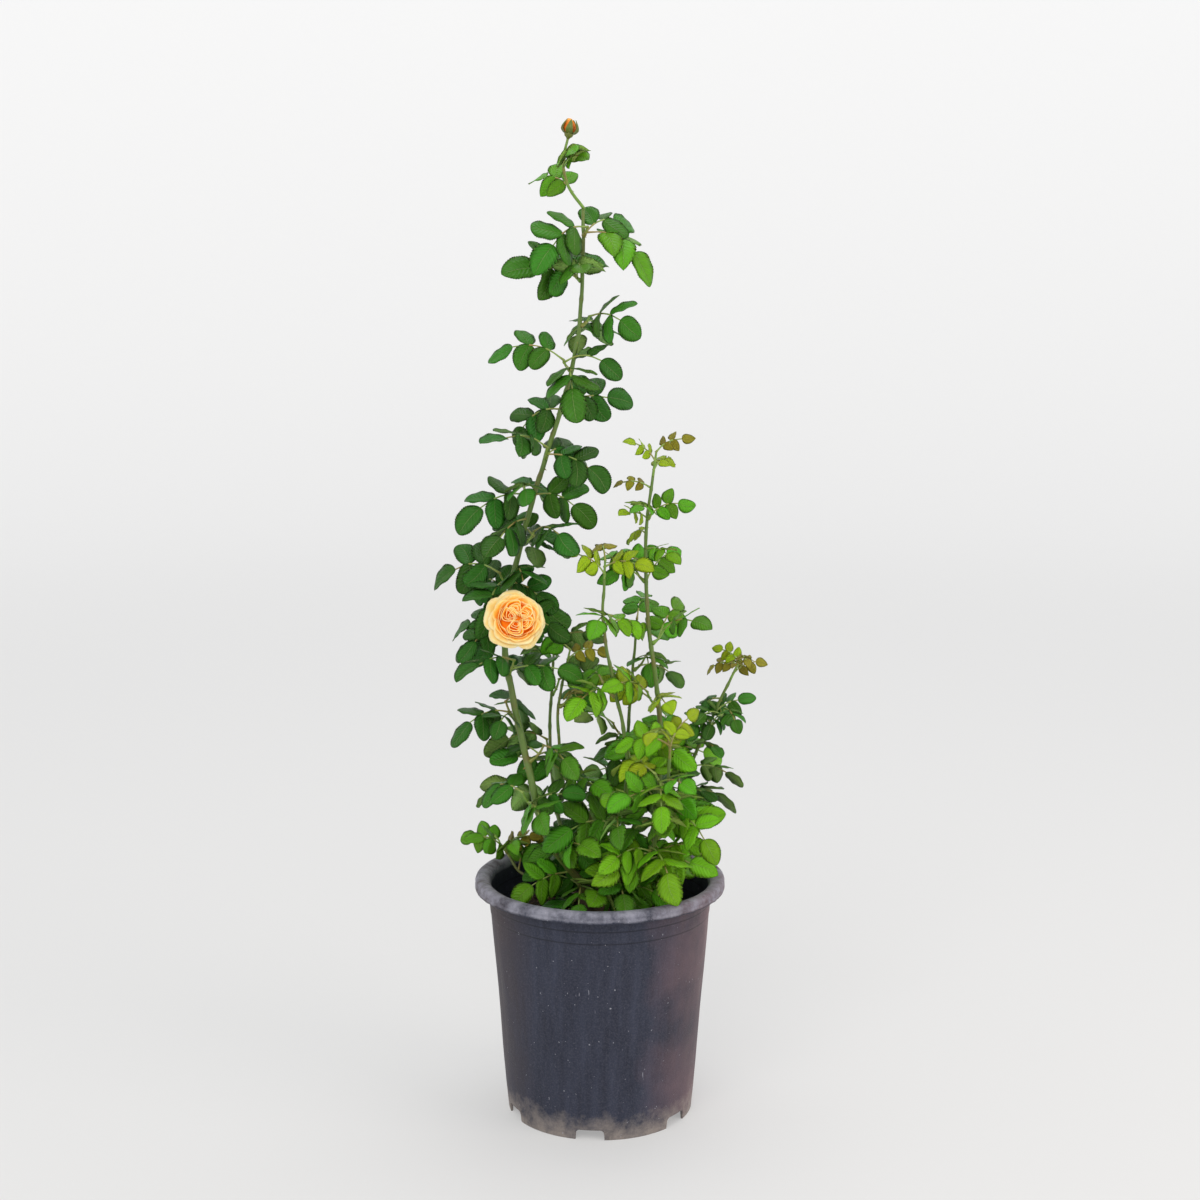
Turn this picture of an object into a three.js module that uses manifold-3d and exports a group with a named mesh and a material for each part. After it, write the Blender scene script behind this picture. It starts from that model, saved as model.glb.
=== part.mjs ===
// A climbing rose in a black nursery pot: a whole young bush about 1.2 m tall, with one open
// rosette bloom and one bud. Canes rise from a low bud union on the compost, each cane carries
// leafy side shoots, and every side shoot is one solid of twigs with its leaflets fused on.
// Millimetres, +Z up, origin on the pot's axis at its flat underside. The bush's front is -Y.

import * as THREE from 'three';
import Module from 'manifold-3d';
import { mergeVertices } from 'three/addons/utils/BufferGeometryUtils.js';

// ---------------------------------------------------------------- driving dimensions

const GAP = 0.3;                     // clearance between pieces that touch in the real plant

const POT_HEIGHT = 290;
const RIM_RADIUS = 150;              // outside of the rolled lip
const WALL_TOP_RADIUS = 134;         // outside of the wall, just under the lip
const BASE_RADIUS = 112;             // outside of the wall at the foot
const POT_WALL = 2.6;
const LIP_DEPTH = 13;                // height of the lip's hanging skirt
const WELL_RADIUS = 80;              // the floor's flat middle, which stands on the ground
const CHANNEL_HEIGHT = 12;           // the drainage channel round the well, and its notches
const NOTCH_COUNT = 6;
const NOTCH_WIDTH = 34;
const NOTCH_BEARING = -96.2;         // degrees from +X, the notch nearest the front
const POT_SIDES = 36;

const SOIL_EDGE = 236;               // height of the compost at the pot wall
const SOIL_TOP = 240;                // and round the stems
const UNION_WIDTH = 70;              // bud union, the swollen foot that all canes rise from
const UNION_HEIGHT = 33;

const CANE_SIDES = 7;
const CANE_STEP = 34;                // length of one straight stretch of a cane

const TWIG_RADIUS = 1.6;             // leafy shoot at its foot
const STALK_RADIUS = 1.25;           // stalk of a compound leaf at its foot
const STALK_LENGTH = 58;             // from the shoot to the foot of the end leaflet
const LEAFLET_LENGTH = 41;
const LEAFLET_WIDTH = 30;
const LEAFLET_FOOT = 4;               // length of stalk that a leaflet grows out of
const LEAFLET_THICKNESS = 1.5;
const STEM_STEPS = 3;                // straight stretches of a leafy shoot's stem
const LEAF_ROLL = -56;               // degrees a sideways leaf turns its face out of the crown
const LEAF_ARCH = 46;                // degrees that a stalk bends down along its length, more or less
const LEAFLET_SAG = 0.42;            // how far down a leaflet may hang from its stalk's plane
const BACK_HALF = 40;                // leaves behind this turn their faces to the back
const STALK_STEPS = 3;               // straight stretches of a stalk: two pairs, then the end leaflet
const SHOOT_REACH = 115;             // radius of the space that one leafy shoot keeps to

const BLOOM_RADIUS = 36;
const BLOOM_CENTRE = [-98, -56, 610];
const BLOOM_FACING = [0.06, -0.92, 0.38];
const NECK_RADIUS = 2.2;             // the stalk that carries the bloom
const BUD_RADIUS = 9.5;
const BUD_LENGTH = 25;

// Each cane: where it leaves the union (bearing in degrees from +X), its bends, its thickness at
// foot and tip, and its side shoots: how many, between which heights, the bearing of the first,
// the turn from one to the next, and the length and leaves of the lowest and the highest. A tip
// is the shoot that a cane ends in; slope is how steeply its leaves start, size how large they are.
const CANES = [
  { name: 'cane_tall', bearing: 222, radius: [4.8, 1.9],
    bends: [[-63, -42, 350], [-88, -27, 445], [-105, -10, 520], [-113, 2, 570], [-107, 12, 630],
      [-88, 15, 712], [-62, 10, 798], [-40, 2, 868], [-25, -5, 935], [-20, -5, 1010], [-19, -5, 1078]],
    shoots: { count: 14, from: 385, to: 1048, bearing: 215, turn: 144, length: [26, 12], leaves: [2, 2] },
    tip: { bearing: 150, length: 86, leaves: 3, size: 0.72, lean: [185, 42, 72] }, slope: 24, size: [0.92, 1.02] },
  { name: 'cane_right', bearing: 8, radius: [4.0, 1.7],
    bends: [[58, 10, 310], [73, 12, 430], [68, 10, 515], [57, 8, 600], [54, 5, 700], [62, 5, 772]],
    shoots: { count: 6, from: 345, to: 722, bearing: 300, turn: 144, length: [34, 12], leaves: [3, 2] },
    tip: { bearing: 60, length: 28, leaves: 3 }, slope: 40, size: [1, 0.62] },
  { name: 'cane_middle', bearing: 300, radius: [2.9, 1.6],
    bends: [[24, -18, 330], [32, -24, 440], [14, -26, 540], [4, -27, 600], [5, -28, 655]],
    shoots: { count: 4, from: 345, to: 600, bearing: 250, turn: 144, length: [32, 16], leaves: [3, 2] },
    tip: { bearing: 200, length: 22, leaves: 3 }, slope: 30, size: [1, 0.8] },
  { name: 'cane_left', bearing: 118, radius: [2.7, 1.5],
    bends: [[-12, 26, 350], [-44, 18, 415], [-50, 10, 490], [-40, 6, 545]],
    shoots: { count: 2, from: 400, to: 495, bearing: 190, turn: 144, length: [24, 16], leaves: [2, 2] },
    tip: { bearing: 20, length: 20, leaves: 2 }, slope: 30, size: [0.95, 0.75] },
  { name: 'cane_side', bearing: 44, radius: [3.0, 1.6],
    bends: [[74, 34, 330], [112, 42, 420], [130, 40, 462], [158, 36, 524]],
    shoots: { count: 3, from: 365, to: 464, bearing: 60, turn: 144, length: [28, 30], leaves: [3, 2] },
    tip: { bearing: 0, length: 26, leaves: 3 }, slope: 30, size: [0.9, 0.6] },
  { name: 'cane_front', bearing: 340, radius: [2.7, 1.6],
    bends: [[58, -52, 330], [76, -78, 400], [80, -86, 455]],
    shoots: { count: 3, from: 322, to: 420, bearing: 280, turn: 144, length: [30, 22], leaves: [3, 2] },
    tip: { bearing: 100, length: 24, leaves: 2 }, slope: 28, size: [1, 0.9] },
  { name: 'cane_back_left', bearing: 155, radius: [3.0, 1.6],
    bends: [[-50, 52, 340], [-62, 88, 430], [-58, 104, 530]],
    shoots: { count: 3, from: 350, to: 490, bearing: 120, turn: 144, length: [30, 22], leaves: [2, 2] },
    tip: { bearing: 240, length: 24, leaves: 2 }, slope: 28, size: [1, 0.85] },
  { name: 'cane_back_right', bearing: 82, radius: [3.0, 1.6],
    bends: [[18, 66, 340], [34, 98, 440], [44, 108, 560]],
    shoots: { count: 3, from: 350, to: 520, bearing: 60, turn: 144, length: [30, 22], leaves: [2, 2] },
    tip: { bearing: 300, length: 24, leaves: 2 }, slope: 28, size: [1, 0.85] },
  { name: 'cane_low', bearing: 186, radius: [2.3, 1.5],
    bends: [[-66, 2, 282], [-96, 12, 288], [-110, 20, 306]],
    shoots: { count: 0 },
    tip: { bearing: 230, length: 16, leaves: 3 }, slope: 30, size: [0.8, 0.8] },
];

const UP = new THREE.Vector3(0, 0, 1);

// ---------------------------------------------------------------- materials

function finish(color, roughness) {
  return new THREE.MeshStandardMaterial({ color, roughness, metalness: 0 });
}
const potPlastic = finish('#3b3c42', 0.55);
const compost = finish('#2a211b', 0.95);
const union = finish('#5a4a35', 0.85);
const caneBark = finish('#6c8a3a', 0.6);
const foliage = finish('#4f9030', 0.5);
const petal = finish('#f0bd70', 0.6);

// ---------------------------------------------------------------- joining and cutting

const wasm = await Module();
wasm.setup();

function solid(geometry) {
  const bare = new THREE.BufferGeometry();
  bare.setAttribute('position', geometry.getAttribute('position'));
  if (geometry.index) bare.setIndex(geometry.index);
  const welded = mergeVertices(bare, 1e-4);
  return new wasm.Manifold(new wasm.Mesh({
    numProp: 3,
    vertProperties: Float32Array.from(welded.getAttribute('position').array),
    triVerts: Uint32Array.from(welded.index.array),
  }));
}

function geometryOf(manifold) {
  const mesh = manifold.getMesh();
  const geometry = new THREE.BufferGeometry();
  geometry.setAttribute('position', new THREE.BufferAttribute(Float32Array.from(mesh.vertProperties), 3));
  geometry.setIndex(Array.from(mesh.triVerts));
  return geometry;
}

// The one largest closed body of a join, so that no loose scrap or sealed hollow stays in it.
function wholeBody(parts) {
  const bodies = wasm.Manifold.union(parts).decompose();
  return bodies.sort((a, b) => b.volume() - a.volume())[0];
}

const plant = new THREE.Group();

function add(name, geometry, material) {
  const mesh = new THREE.Mesh(geometry, material);
  mesh.name = name;
  plant.add(mesh);
}

// ---------------------------------------------------------------- pot, compost and bud union

function lathe(profile, sides) {
  const outline = profile.map(([radius, height]) => new THREE.Vector2(radius, height));
  return new THREE.LatheGeometry(outline, sides).rotateX(Math.PI / 2);
}

function wallRadius(height) {
  const rise = height / (POT_HEIGHT - LIP_DEPTH);
  return BASE_RADIUS + (WALL_TOP_RADIUS - BASE_RADIUS) * rise;
}

function makePot() {
  const floorTop = CHANNEL_HEIGHT + POT_WALL;
  const lipFoot = POT_HEIGHT - LIP_DEPTH;
  const profile = [
    [0, 0], [WELL_RADIUS, 0], [WELL_RADIUS + 2, CHANNEL_HEIGHT],
    [BASE_RADIUS - POT_WALL, CHANNEL_HEIGHT], [BASE_RADIUS - POT_WALL, 0],
    [BASE_RADIUS - 1, 0], [wallRadius(4), 4], [wallRadius(lipFoot), lipFoot],
    [WALL_TOP_RADIUS + 1, POT_HEIGHT - 4], [RIM_RADIUS - POT_WALL, POT_HEIGHT - 4],
    [RIM_RADIUS - POT_WALL, lipFoot], [RIM_RADIUS, lipFoot],
    [RIM_RADIUS, POT_HEIGHT - 4], [RIM_RADIUS - 3, POT_HEIGHT], [RIM_RADIUS - LIP_DEPTH, POT_HEIGHT],
    [WALL_TOP_RADIUS - POT_WALL, POT_HEIGHT - 4], [wallRadius(lipFoot) - POT_WALL, lipFoot],
    [wallRadius(floorTop) - POT_WALL, floorTop], [WELL_RADIUS, floorTop],
    [WELL_RADIUS - 2, POT_WALL], [0, POT_WALL],
  ];
  const notches = [];
  for (let i = 0; i < NOTCH_COUNT; i += 1) {
    const bearing = THREE.MathUtils.degToRad(NOTCH_BEARING + i * 360 / NOTCH_COUNT);
    const notch = new THREE.BoxGeometry(3 * POT_WALL + 8, NOTCH_WIDTH, 2 * CHANNEL_HEIGHT);
    notch.translate(BASE_RADIUS, 0, 0).rotateZ(bearing);
    notches.push(solid(notch));
  }
  add('pot', geometryOf(wasm.Manifold.difference([solid(lathe(profile, POT_SIDES)), ...notches])), potPlastic);
}

function makeCompost() {
  const foot = CHANNEL_HEIGHT + POT_WALL + GAP;
  const inset = POT_WALL + GAP + 0.1;
  add('compost', lathe([
    [0, foot], [wallRadius(foot) - inset, foot], [wallRadius(SOIL_EDGE) - inset, SOIL_EDGE],
    [0.7 * WALL_TOP_RADIUS, SOIL_EDGE + 1], [UNION_WIDTH / 2 + 6, SOIL_TOP], [0, SOIL_TOP],
  ], POT_SIDES), compost);
}

// The union is the top of an ellipsoid over a short flare that is cut flat on the compost.
const UNION_MIDDLE = SOIL_TOP + 0.45 * UNION_HEIGHT;
const UNION_CROWN = SOIL_TOP + UNION_HEIGHT - UNION_MIDDLE;

function makeUnion() {
  const profile = [[0, SOIL_TOP + GAP], [0.43 * UNION_WIDTH, SOIL_TOP + GAP],
    [0.4 * UNION_WIDTH, SOIL_TOP + 5]];
  const crownSteps = 7;
  for (let i = 0; i < crownSteps; i += 1) {
    const angle = (i / crownSteps) * Math.PI / 2;
    profile.push([UNION_WIDTH / 2 * Math.cos(angle), UNION_MIDDLE + UNION_CROWN * Math.sin(angle)]);
  }
  profile.push([0, UNION_MIDDLE + UNION_CROWN]);
  add('bud_union', lathe(profile, 20), union);
}

// ---------------------------------------------------------------- limbs

function headings(points) {
  return points.map((_, i) => {
    const before = points[Math.max(i - 1, 0)];
    const after = points[Math.min(i + 1, points.length - 1)];
    return after.clone().sub(before).normalize();
  });
}

// Rings of corners square to a path. The reference axis is the one the path runs along least.
function rings(points, radii, sides) {
  const chord = points[points.length - 1].clone().sub(points[0]);
  const parts = [Math.abs(chord.x), Math.abs(chord.y), Math.abs(chord.z)];
  const reference = new THREE.Vector3().setComponent(parts.indexOf(Math.min(...parts)), 1);
  return headings(points).map((heading, i) => {
    const across = reference.clone().addScaledVector(heading, -reference.dot(heading)).normalize();
    const along = heading.clone().cross(across);
    return Array.from({ length: sides }, (_, k) => {
      const angle = 2 * Math.PI * k / sides;
      return points[i].clone().addScaledVector(across, radii[i] * Math.cos(angle))
        .addScaledVector(along, radii[i] * Math.sin(angle));
    });
  });
}

// One closed tapering limb: a wall of triangles between the rings, and a flat cut at each end.
function limb(points, radii, sides) {
  const corners = rings(points, radii, sides).flat();
  const last = points.length - 1;
  const index = [];
  for (let i = 0; i < last; i += 1) {
    for (let k = 0; k < sides; k += 1) {
      const a = i * sides + k;
      const b = i * sides + (k + 1) % sides;
      index.push(a, b, a + sides, b, b + sides, a + sides);
    }
  }
  for (let k = 1; k < sides - 1; k += 1) {
    index.push(0, k + 1, k);
    index.push(last * sides, last * sides + k, last * sides + k + 1);
  }
  const geometry = new THREE.BufferGeometry().setFromPoints(corners);
  geometry.setIndex(index);
  return geometry;
}

function mix(pair, share) {
  return pair[0] + (pair[1] - pair[0]) * share;
}

// ---------------------------------------------------------------- keeping clear

// Everything that takes up room is kept as a convex set of points with a radius round them.
const taken = [];

function convex(points, fat, owner) {
  const centre = points.reduce((sum, p) => sum.add(p), new THREE.Vector3()).divideScalar(points.length);
  const bound = fat + Math.max(...points.map((p) => p.distanceTo(centre)));
  return { points, fat, owner, centre, bound };
}

function furthest(points, direction) {
  let best = points[0];
  for (const p of points) if (p.dot(direction) > best.dot(direction)) best = p;
  return best;
}

// True where two convex sets are at least `room` apart. The vector between them is drawn
// towards the nearest point of their difference: its length is an upper bound of their
// distance, and each step gives a lower one.
function apart(a, b, room) {
  const v = a.centre.clone().sub(b.centre);
  if (v.length() - a.bound - b.bound > room) return true;
  const need = room + a.fat + b.fat;
  for (let step = 0; step < 200; step += 1) {
    const size = v.length();
    if (size < need) return false;
    const w = furthest(a.points, v.clone().negate()).clone().sub(furthest(b.points, v));
    if (v.dot(w) / size >= need) return true;
    const pull = w.sub(v);
    const share = pull.lengthSq() < 1e-12 ? 0 : -v.dot(pull) / pull.lengthSq();
    v.addScaledVector(pull, Math.min(Math.max(share, 0), 1));
  }
  return false;
}

function clearOfPot(points) {
  const low = points.some((p) => p.z < POT_HEIGHT + 3);
  if (!low) return true;
  return points.every((p) => Math.hypot(p.x, p.y) < wallRadius(p.z) - POT_WALL - 3
    && p.z > SOIL_TOP + 3);
}

// Sets of one owner may touch each other, and so may all those whose owner the test ignores.
function free(sets, room, ignored = () => false) {
  return sets.every((set) => clearOfPot(set.points) && taken.every((other) => (
    other.owner === set.owner || ignored(other.owner) || apart(set, other, room))));
}

// The straight stretches of a limb, each the convex set of its two end rings.
function limbSets(points, radii, sides, owner) {
  const corners = rings(points, radii, sides);
  return corners.slice(1).map((ring, i) => convex([...corners[i], ...ring], 0, owner));
}

// Slides a twig's foot out of its cane until the gap between them is right, and grows it there.
function seat(cane, from, out, grow) {
  const own = taken.filter((set) => set.owner === cane.name);
  for (let slide = 0; ; slide += GAP / 6) {
    const twig = grow(from.clone().addScaledVector(out, slide));
    if (own.every((set) => apart(twig.sets[0], set, GAP))) return twig;
  }
}

// ---------------------------------------------------------------- canes

function caneFoot(cane) {
  const bearing = THREE.MathUtils.degToRad(cane.bearing);
  const lift = THREE.MathUtils.degToRad(52);
  const out = new THREE.Vector3(Math.cos(bearing), Math.sin(bearing), 0);
  const foot = out.clone().multiplyScalar(UNION_WIDTH / 2 * Math.cos(lift));
  foot.z = UNION_MIDDLE + UNION_CROWN * Math.sin(lift);
  const square = out.clone().multiplyScalar(Math.cos(lift) / (UNION_WIDTH / 2));
  square.z = Math.sin(lift) / UNION_CROWN;
  square.normalize();
  return [foot.addScaledVector(square, 2 * GAP), square];
}

function makeCane(cane) {
  const [foot, square] = caneFoot(cane);
  const bends = cane.bends.map((bend) => new THREE.Vector3(...bend));
  const first = foot.clone().addScaledVector(square, 14);
  const curve = new THREE.CatmullRomCurve3([first, ...bends], false, 'catmullrom', 0.5);
  cane.points = [foot, ...curve.getPoints(Math.round(curve.getLength() / CANE_STEP))];
  const steps = cane.points.length - 1;
  cane.radii = cane.points.map((_, i) => mix(cane.radius, i / steps));
  taken.push(...limbSets(cane.points, cane.radii, CANE_SIDES, cane.name));
  add(cane.name, limb(cane.points, cane.radii, CANE_SIDES), caneBark);
}

// The place on a cane at a height: its middle, its radius and its heading there.
function placeOn(cane, height) {
  const i = cane.points.findIndex((p, k) => k > 0 && p.z >= height);
  const low = cane.points[i - 1];
  const high = cane.points[i];
  const share = (height - low.z) / (high.z - low.z);
  return {
    middle: low.clone().lerp(high, share),
    radius: cane.radii[i - 1],
    heading: high.clone().sub(low).normalize(),
  };
}

// ---------------------------------------------------------------- the leafing rule

// A number from 0 to 1 that depends only on its three keys.
function draw(shoot, leaf, channel) {
  let h = Math.imul(shoot + 1, 73856093) ^ Math.imul(leaf + 1, 19349663) ^ Math.imul(channel + 1, 83492791);
  h = Math.imul(h ^ (h >>> 15), 2246822519);
  h = Math.imul(h ^ (h >>> 13), 3266489917);
  return ((h ^ (h >>> 16)) >>> 0) / 4294967296;
}

function spread(shoot, leaf, channel, range) {
  return (2 * draw(shoot, leaf, channel) - 1) * range;
}

function compass(degrees) {
  const angle = THREE.MathUtils.degToRad(degrees);
  return new THREE.Vector3(Math.cos(angle), Math.sin(angle), 0);
}

// A path in the upright plane through a bearing, which starts at a slope and bends evenly.
function arc(start, bearing, slope, bend, length, steps) {
  const out = compass(bearing);
  const points = [start.clone()];
  for (let i = 0; i < steps; i += 1) {
    const angle = THREE.MathUtils.degToRad(slope + bend * (i + 0.5) / steps);
    const heading = out.clone().multiplyScalar(Math.cos(angle)).addScaledVector(UP, Math.sin(angle));
    points.push(points[i].clone().addScaledVector(heading, length / steps));
  }
  return points;
}

// The corners of a stalk's ring: one on top of it and one low on either side.
function stalkRing(middle, heading, side, radius) {
  const top = heading.clone().cross(side);
  const low = middle.clone().addScaledVector(top, -radius / 2);
  return [
    middle.clone().addScaledVector(top, radius),
    low.clone().addScaledVector(side, -0.866 * radius),
    low.clone().addScaledVector(side, 0.866 * radius),
  ];
}

// A leaflet as its foot, tip, near and far shoulder, and the upper and lower face of its blade.
function leaflet(foot, heading, face, ahead, length, width) {
  const across = face.clone().cross(heading).normalize();
  if (across.dot(ahead) < 0) across.negate();
  const normal = face.clone().addScaledVector(heading, -face.dot(heading)).normalize();
  const wide = foot.clone().addScaledVector(heading, 0.45 * length);
  return {
    foot,
    tip: foot.clone().addScaledVector(heading, length),
    near: wide.clone().addScaledVector(across, -width / 2),
    far: wide.clone().addScaledVector(across, width / 2),
    upper: wide.clone().addScaledVector(normal, LEAFLET_THICKNESS / 2),
    lower: wide.clone().addScaledVector(normal, -LEAFLET_THICKNESS / 2),
  };
}

// Where a leaflet's blade would touch something, it is turned a little, as leaves do. A turn is
// a dip of its tip and a roll that lifts the shoulder nearer the stem, so that pairs shingle.
const TURNS = [[0, 14], [12, 28], [-12, 4], [24, 36], [-20, 34], [36, -18], [30, 54]];

function growLeaflet(foot, heading, face, ahead, size, space, owner, own) {
  const across = face.clone().cross(heading).normalize();
  const hand = Math.sign(across.dot(ahead)) || 1;
  for (const [dip, roll] of TURNS) {
    const aimed = heading.clone().applyAxisAngle(across, THREE.MathUtils.degToRad(dip));
    const turned = face.clone().applyAxisAngle(aimed, THREE.MathUtils.degToRad(hand * roll));
    const blade = leaflet(foot, aimed, turned, ahead, size * LEAFLET_LENGTH, size * LEAFLET_WIDTH);
    const corners = Object.values(blade);
    const set = convex(corners, 0, owner);
    const inside = corners.every((p) => p.distanceTo(space.centre) < space.radius);
    if (inside && own.every((other) => apart(set, other, 2 * GAP)) && free([set], 2 * GAP)) return { blade, set };
  }
  return null;
}

// One closed body: the stalk's rings, each leaflet drawn out of a side of the stalk between two
// close rings, and the end leaflet drawn out of the last ring.
function leafBody(points, radii, sides, blades) {
  const ahead = headings(points);
  const ringsOf = [stalkRing(points[0], ahead[0], sides[0], radii[0])];
  for (let at = 1; at < STALK_STEPS; at += 1) {
    for (const shift of [-LEAFLET_FOOT / 2, LEAFLET_FOOT / 2]) {
      const middle = points[at].clone().addScaledVector(ahead[at], shift);
      ringsOf.push(stalkRing(middle, ahead[at], sides[at], radii[at]));
    }
  }
  ringsOf.push(stalkRing(points[STALK_STEPS], ahead[STALK_STEPS], sides[STALK_STEPS], radii[STALK_STEPS]));
  const corners = [];
  const index = [];
  const put = (...points3) => index.push(...points3.map((p) => corners.push(p) - 1));
  const draw4 = (quad, [back, second, front, fourth], tip) => {
    const ring = [back, second, front, fourth];
    ring.forEach((m, i) => {
      put(quad[i], quad[(i + 1) % 4], m);
      put(m, quad[(i + 1) % 4], ring[(i + 1) % 4]);
      put(m, ring[(i + 1) % 4], tip);
    });
  };
  put(ringsOf[0][0], ringsOf[0][2], ringsOf[0][1]);
  for (let i = 0; i < ringsOf.length - 1; i += 1) {
    const [A, B] = [ringsOf[i], ringsOf[i + 1]];
    const at = i % 2 === 1 ? (i + 1) / 2 : 0;
    [[0, 1, -1], [1, 2, 0], [2, 0, 1]].forEach(([u, v, hand]) => {
      const blade = at && hand ? blades[`${at}.${hand}`] : null;
      const order = hand < 0 ? ['near', 'lower', 'far', 'upper'] : ['near', 'upper', 'far', 'lower'];
      if (blade) draw4([A[u], A[v], B[v], B[u]], order.map((key) => blade[key]), blade.tip);
      else {
        put(A[u], A[v], B[u]);
        put(A[v], B[v], B[u]);
      }
    });
  }
  const [top, left, right] = ringsOf[ringsOf.length - 1];
  const end = blades[`${STALK_STEPS}.0`];
  if (end) {
    const { near, far, upper, lower, tip } = end;
    const leftward = far.clone().sub(near).dot(sides[STALK_STEPS]) < 0;
    const [sideL, sideR] = leftward ? [far, near] : [near, far];
    put(top, left, sideL);
    put(sideL, left, lower);
    put(left, right, lower);
    put(lower, right, sideR);
    put(right, top, sideR);
    put(sideR, top, upper);
    put(upper, top, sideL);
    [[sideL, lower], [lower, sideR], [sideR, upper], [upper, sideL]].forEach(([a, b]) => put(a, b, tip));
  } else put(top, left, right);
  const geometry = new THREE.BufferGeometry().setFromPoints(corners);
  geometry.setIndex(index);
  return geometry;
}

// A compound leaf: an arching stalk with pairs of leaflets and one at its end.
function growLeaf(shoot, leaf, start, bearing, slope, scale, space) {
  const owner = `${shoot}.${leaf}`;
  for (const swing of [0, 24, -24, 48, -48]) {
    const aim = bearing + swing;
    const length = STALK_LENGTH * scale * (0.88 + 0.24 * draw(shoot, leaf, 1));
    const bend = -LEAF_ARCH * (0.7 + 0.9 * draw(shoot, leaf, 2));
    const points = arc(start, aim, slope, bend, length, STALK_STEPS);
    const radii = points.map((_, i) => mix([STALK_RADIUS, 0.8 * STALK_RADIUS], i / STALK_STEPS));
    const stalk = limbSets(points, radii, 3, owner);
    const inside = points.every((p) => p.distanceTo(space.centre) < space.radius);
    const ownShoot = (other) => other.startsWith(`${shoot}.`);
    if (!inside || !free(stalk.slice(1), 2 * GAP) || !free(stalk.slice(0, 1), 2 * GAP, ownShoot)) continue;
    const directions = headings(points);
    const level = UP.clone().cross(compass(aim));
    const outward = start.y > BACK_HALF ? 1 : -1;
    const roll = THREE.MathUtils.degToRad(spread(shoot, leaf, 4, 22) + LEAF_ROLL * level.y * outward);
    const sides = directions.map((ahead) => level.clone().applyAxisAngle(ahead, roll));
    const blades = {};
    const own = [];
    const size = scale * (0.9 + 0.2 * draw(shoot, leaf, 3));
    for (let at = STALK_STEPS; at > 0; at -= 1) {
      const ahead = directions[at];
      const side = sides[at];
      const face = ahead.clone().cross(side);
      const grown = size * (0.79 + 0.07 * at);
      const pair = [];
      for (const hand of at === STALK_STEPS ? [0] : [1, -1]) {
        const heading = ahead.clone().multiplyScalar(hand ? 0.42 : 1).addScaledVector(side, 0.9 * hand)
          .addScaledVector(UP, -LEAFLET_SAG * draw(shoot, leaf, 10 + 3 * at + hand)).normalize();
        const lean = face.clone().addScaledVector(side, 0.3 * hand);
        const forward = hand ? ahead : side;
        const got = growLeaflet(points[at], heading, lean, forward, grown, space, owner, own);
        if (!got) continue;
        blades[`${at}.${hand}`] = got.blade;
        pair.push(got.set);
      }
      own.push(...pair);
    }
    if (own.length < 3) continue;
    taken.push(...stalk, ...own);
    return [leafBody(points, radii, sides, blades)];
  }
  return [];
}

// A leafy shoot: its stem, its compound leaves, and what blooms at its end.
function makeShoot(name, shoot, plan) {
  const owner = `${shoot}.stem`;
  const last = STEM_STEPS;
  const radii = Array.from({ length: last + 1 }, (_, i) => mix([plan.radius, 0.75 * plan.radius], i / last));
  const tries = plan.stems.map(({ from, out, bearing, slope, bend }) => seat(plan.cane, from, out, (start) => {
    const points = arc(start, bearing, slope, bend, plan.length, last);
    return { bearing, points, sets: limbSets(points, radii, 3, owner) };
  }));
  const { bearing, points, sets } = tries.find((stem) => free(stem.sets, 0.9 * GAP));
  taken.push(...sets);
  const space = { centre: points[last].clone().addScaledVector(compass(bearing), plan.offset), radius: SHOOT_REACH };
  const parts = [solid(limb(points, radii, 3))];
  if (plan.bud) parts.push(budOn(points));
  for (let leaf = 0; leaf < plan.leaves; leaf += 1) {
    const along = last * (leaf + 0.7) / (plan.leaves - 0.3);
    const i = Math.min(Math.floor(along), last - 1);
    const start = points[i].clone().lerp(points[i + 1], along - i);
    const aim = bearing + plan.turn(leaf) + spread(shoot, leaf, 6, 14);
    const slope = plan.leafSlope + spread(shoot, leaf, 7, 20);
    parts.push(...growLeaf(shoot, leaf, start, aim, slope, plan.scale, space).map(solid));
  }
  add(name, geometryOf(wholeBody(parts)), foliage);
}

// ---------------------------------------------------------------- bloom and bud

// A surface of revolution about a facing: its outline is radius and distance along the facing.
function turned(outline, sides, facing, centre, waves) {
  const profile = outline.map(([radius, along]) => new THREE.Vector2(radius, along));
  const geometry = new THREE.LatheGeometry(profile, sides);
  const position = geometry.getAttribute('position');
  for (let i = 0; i < position.count; i += 1) {
    const [x, y, z] = [position.getX(i), position.getY(i), position.getZ(i)];
    const swell = 1 + waves * Math.cos(5 * Math.atan2(z, x));
    position.setXYZ(i, x * swell, y, z * swell);
  }
  const turn = new THREE.Quaternion().setFromUnitVectors(new THREE.Vector3(0, 1, 0), facing);
  return geometry.applyQuaternion(turn).translate(centre.x, centre.y, centre.z);
}

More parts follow.
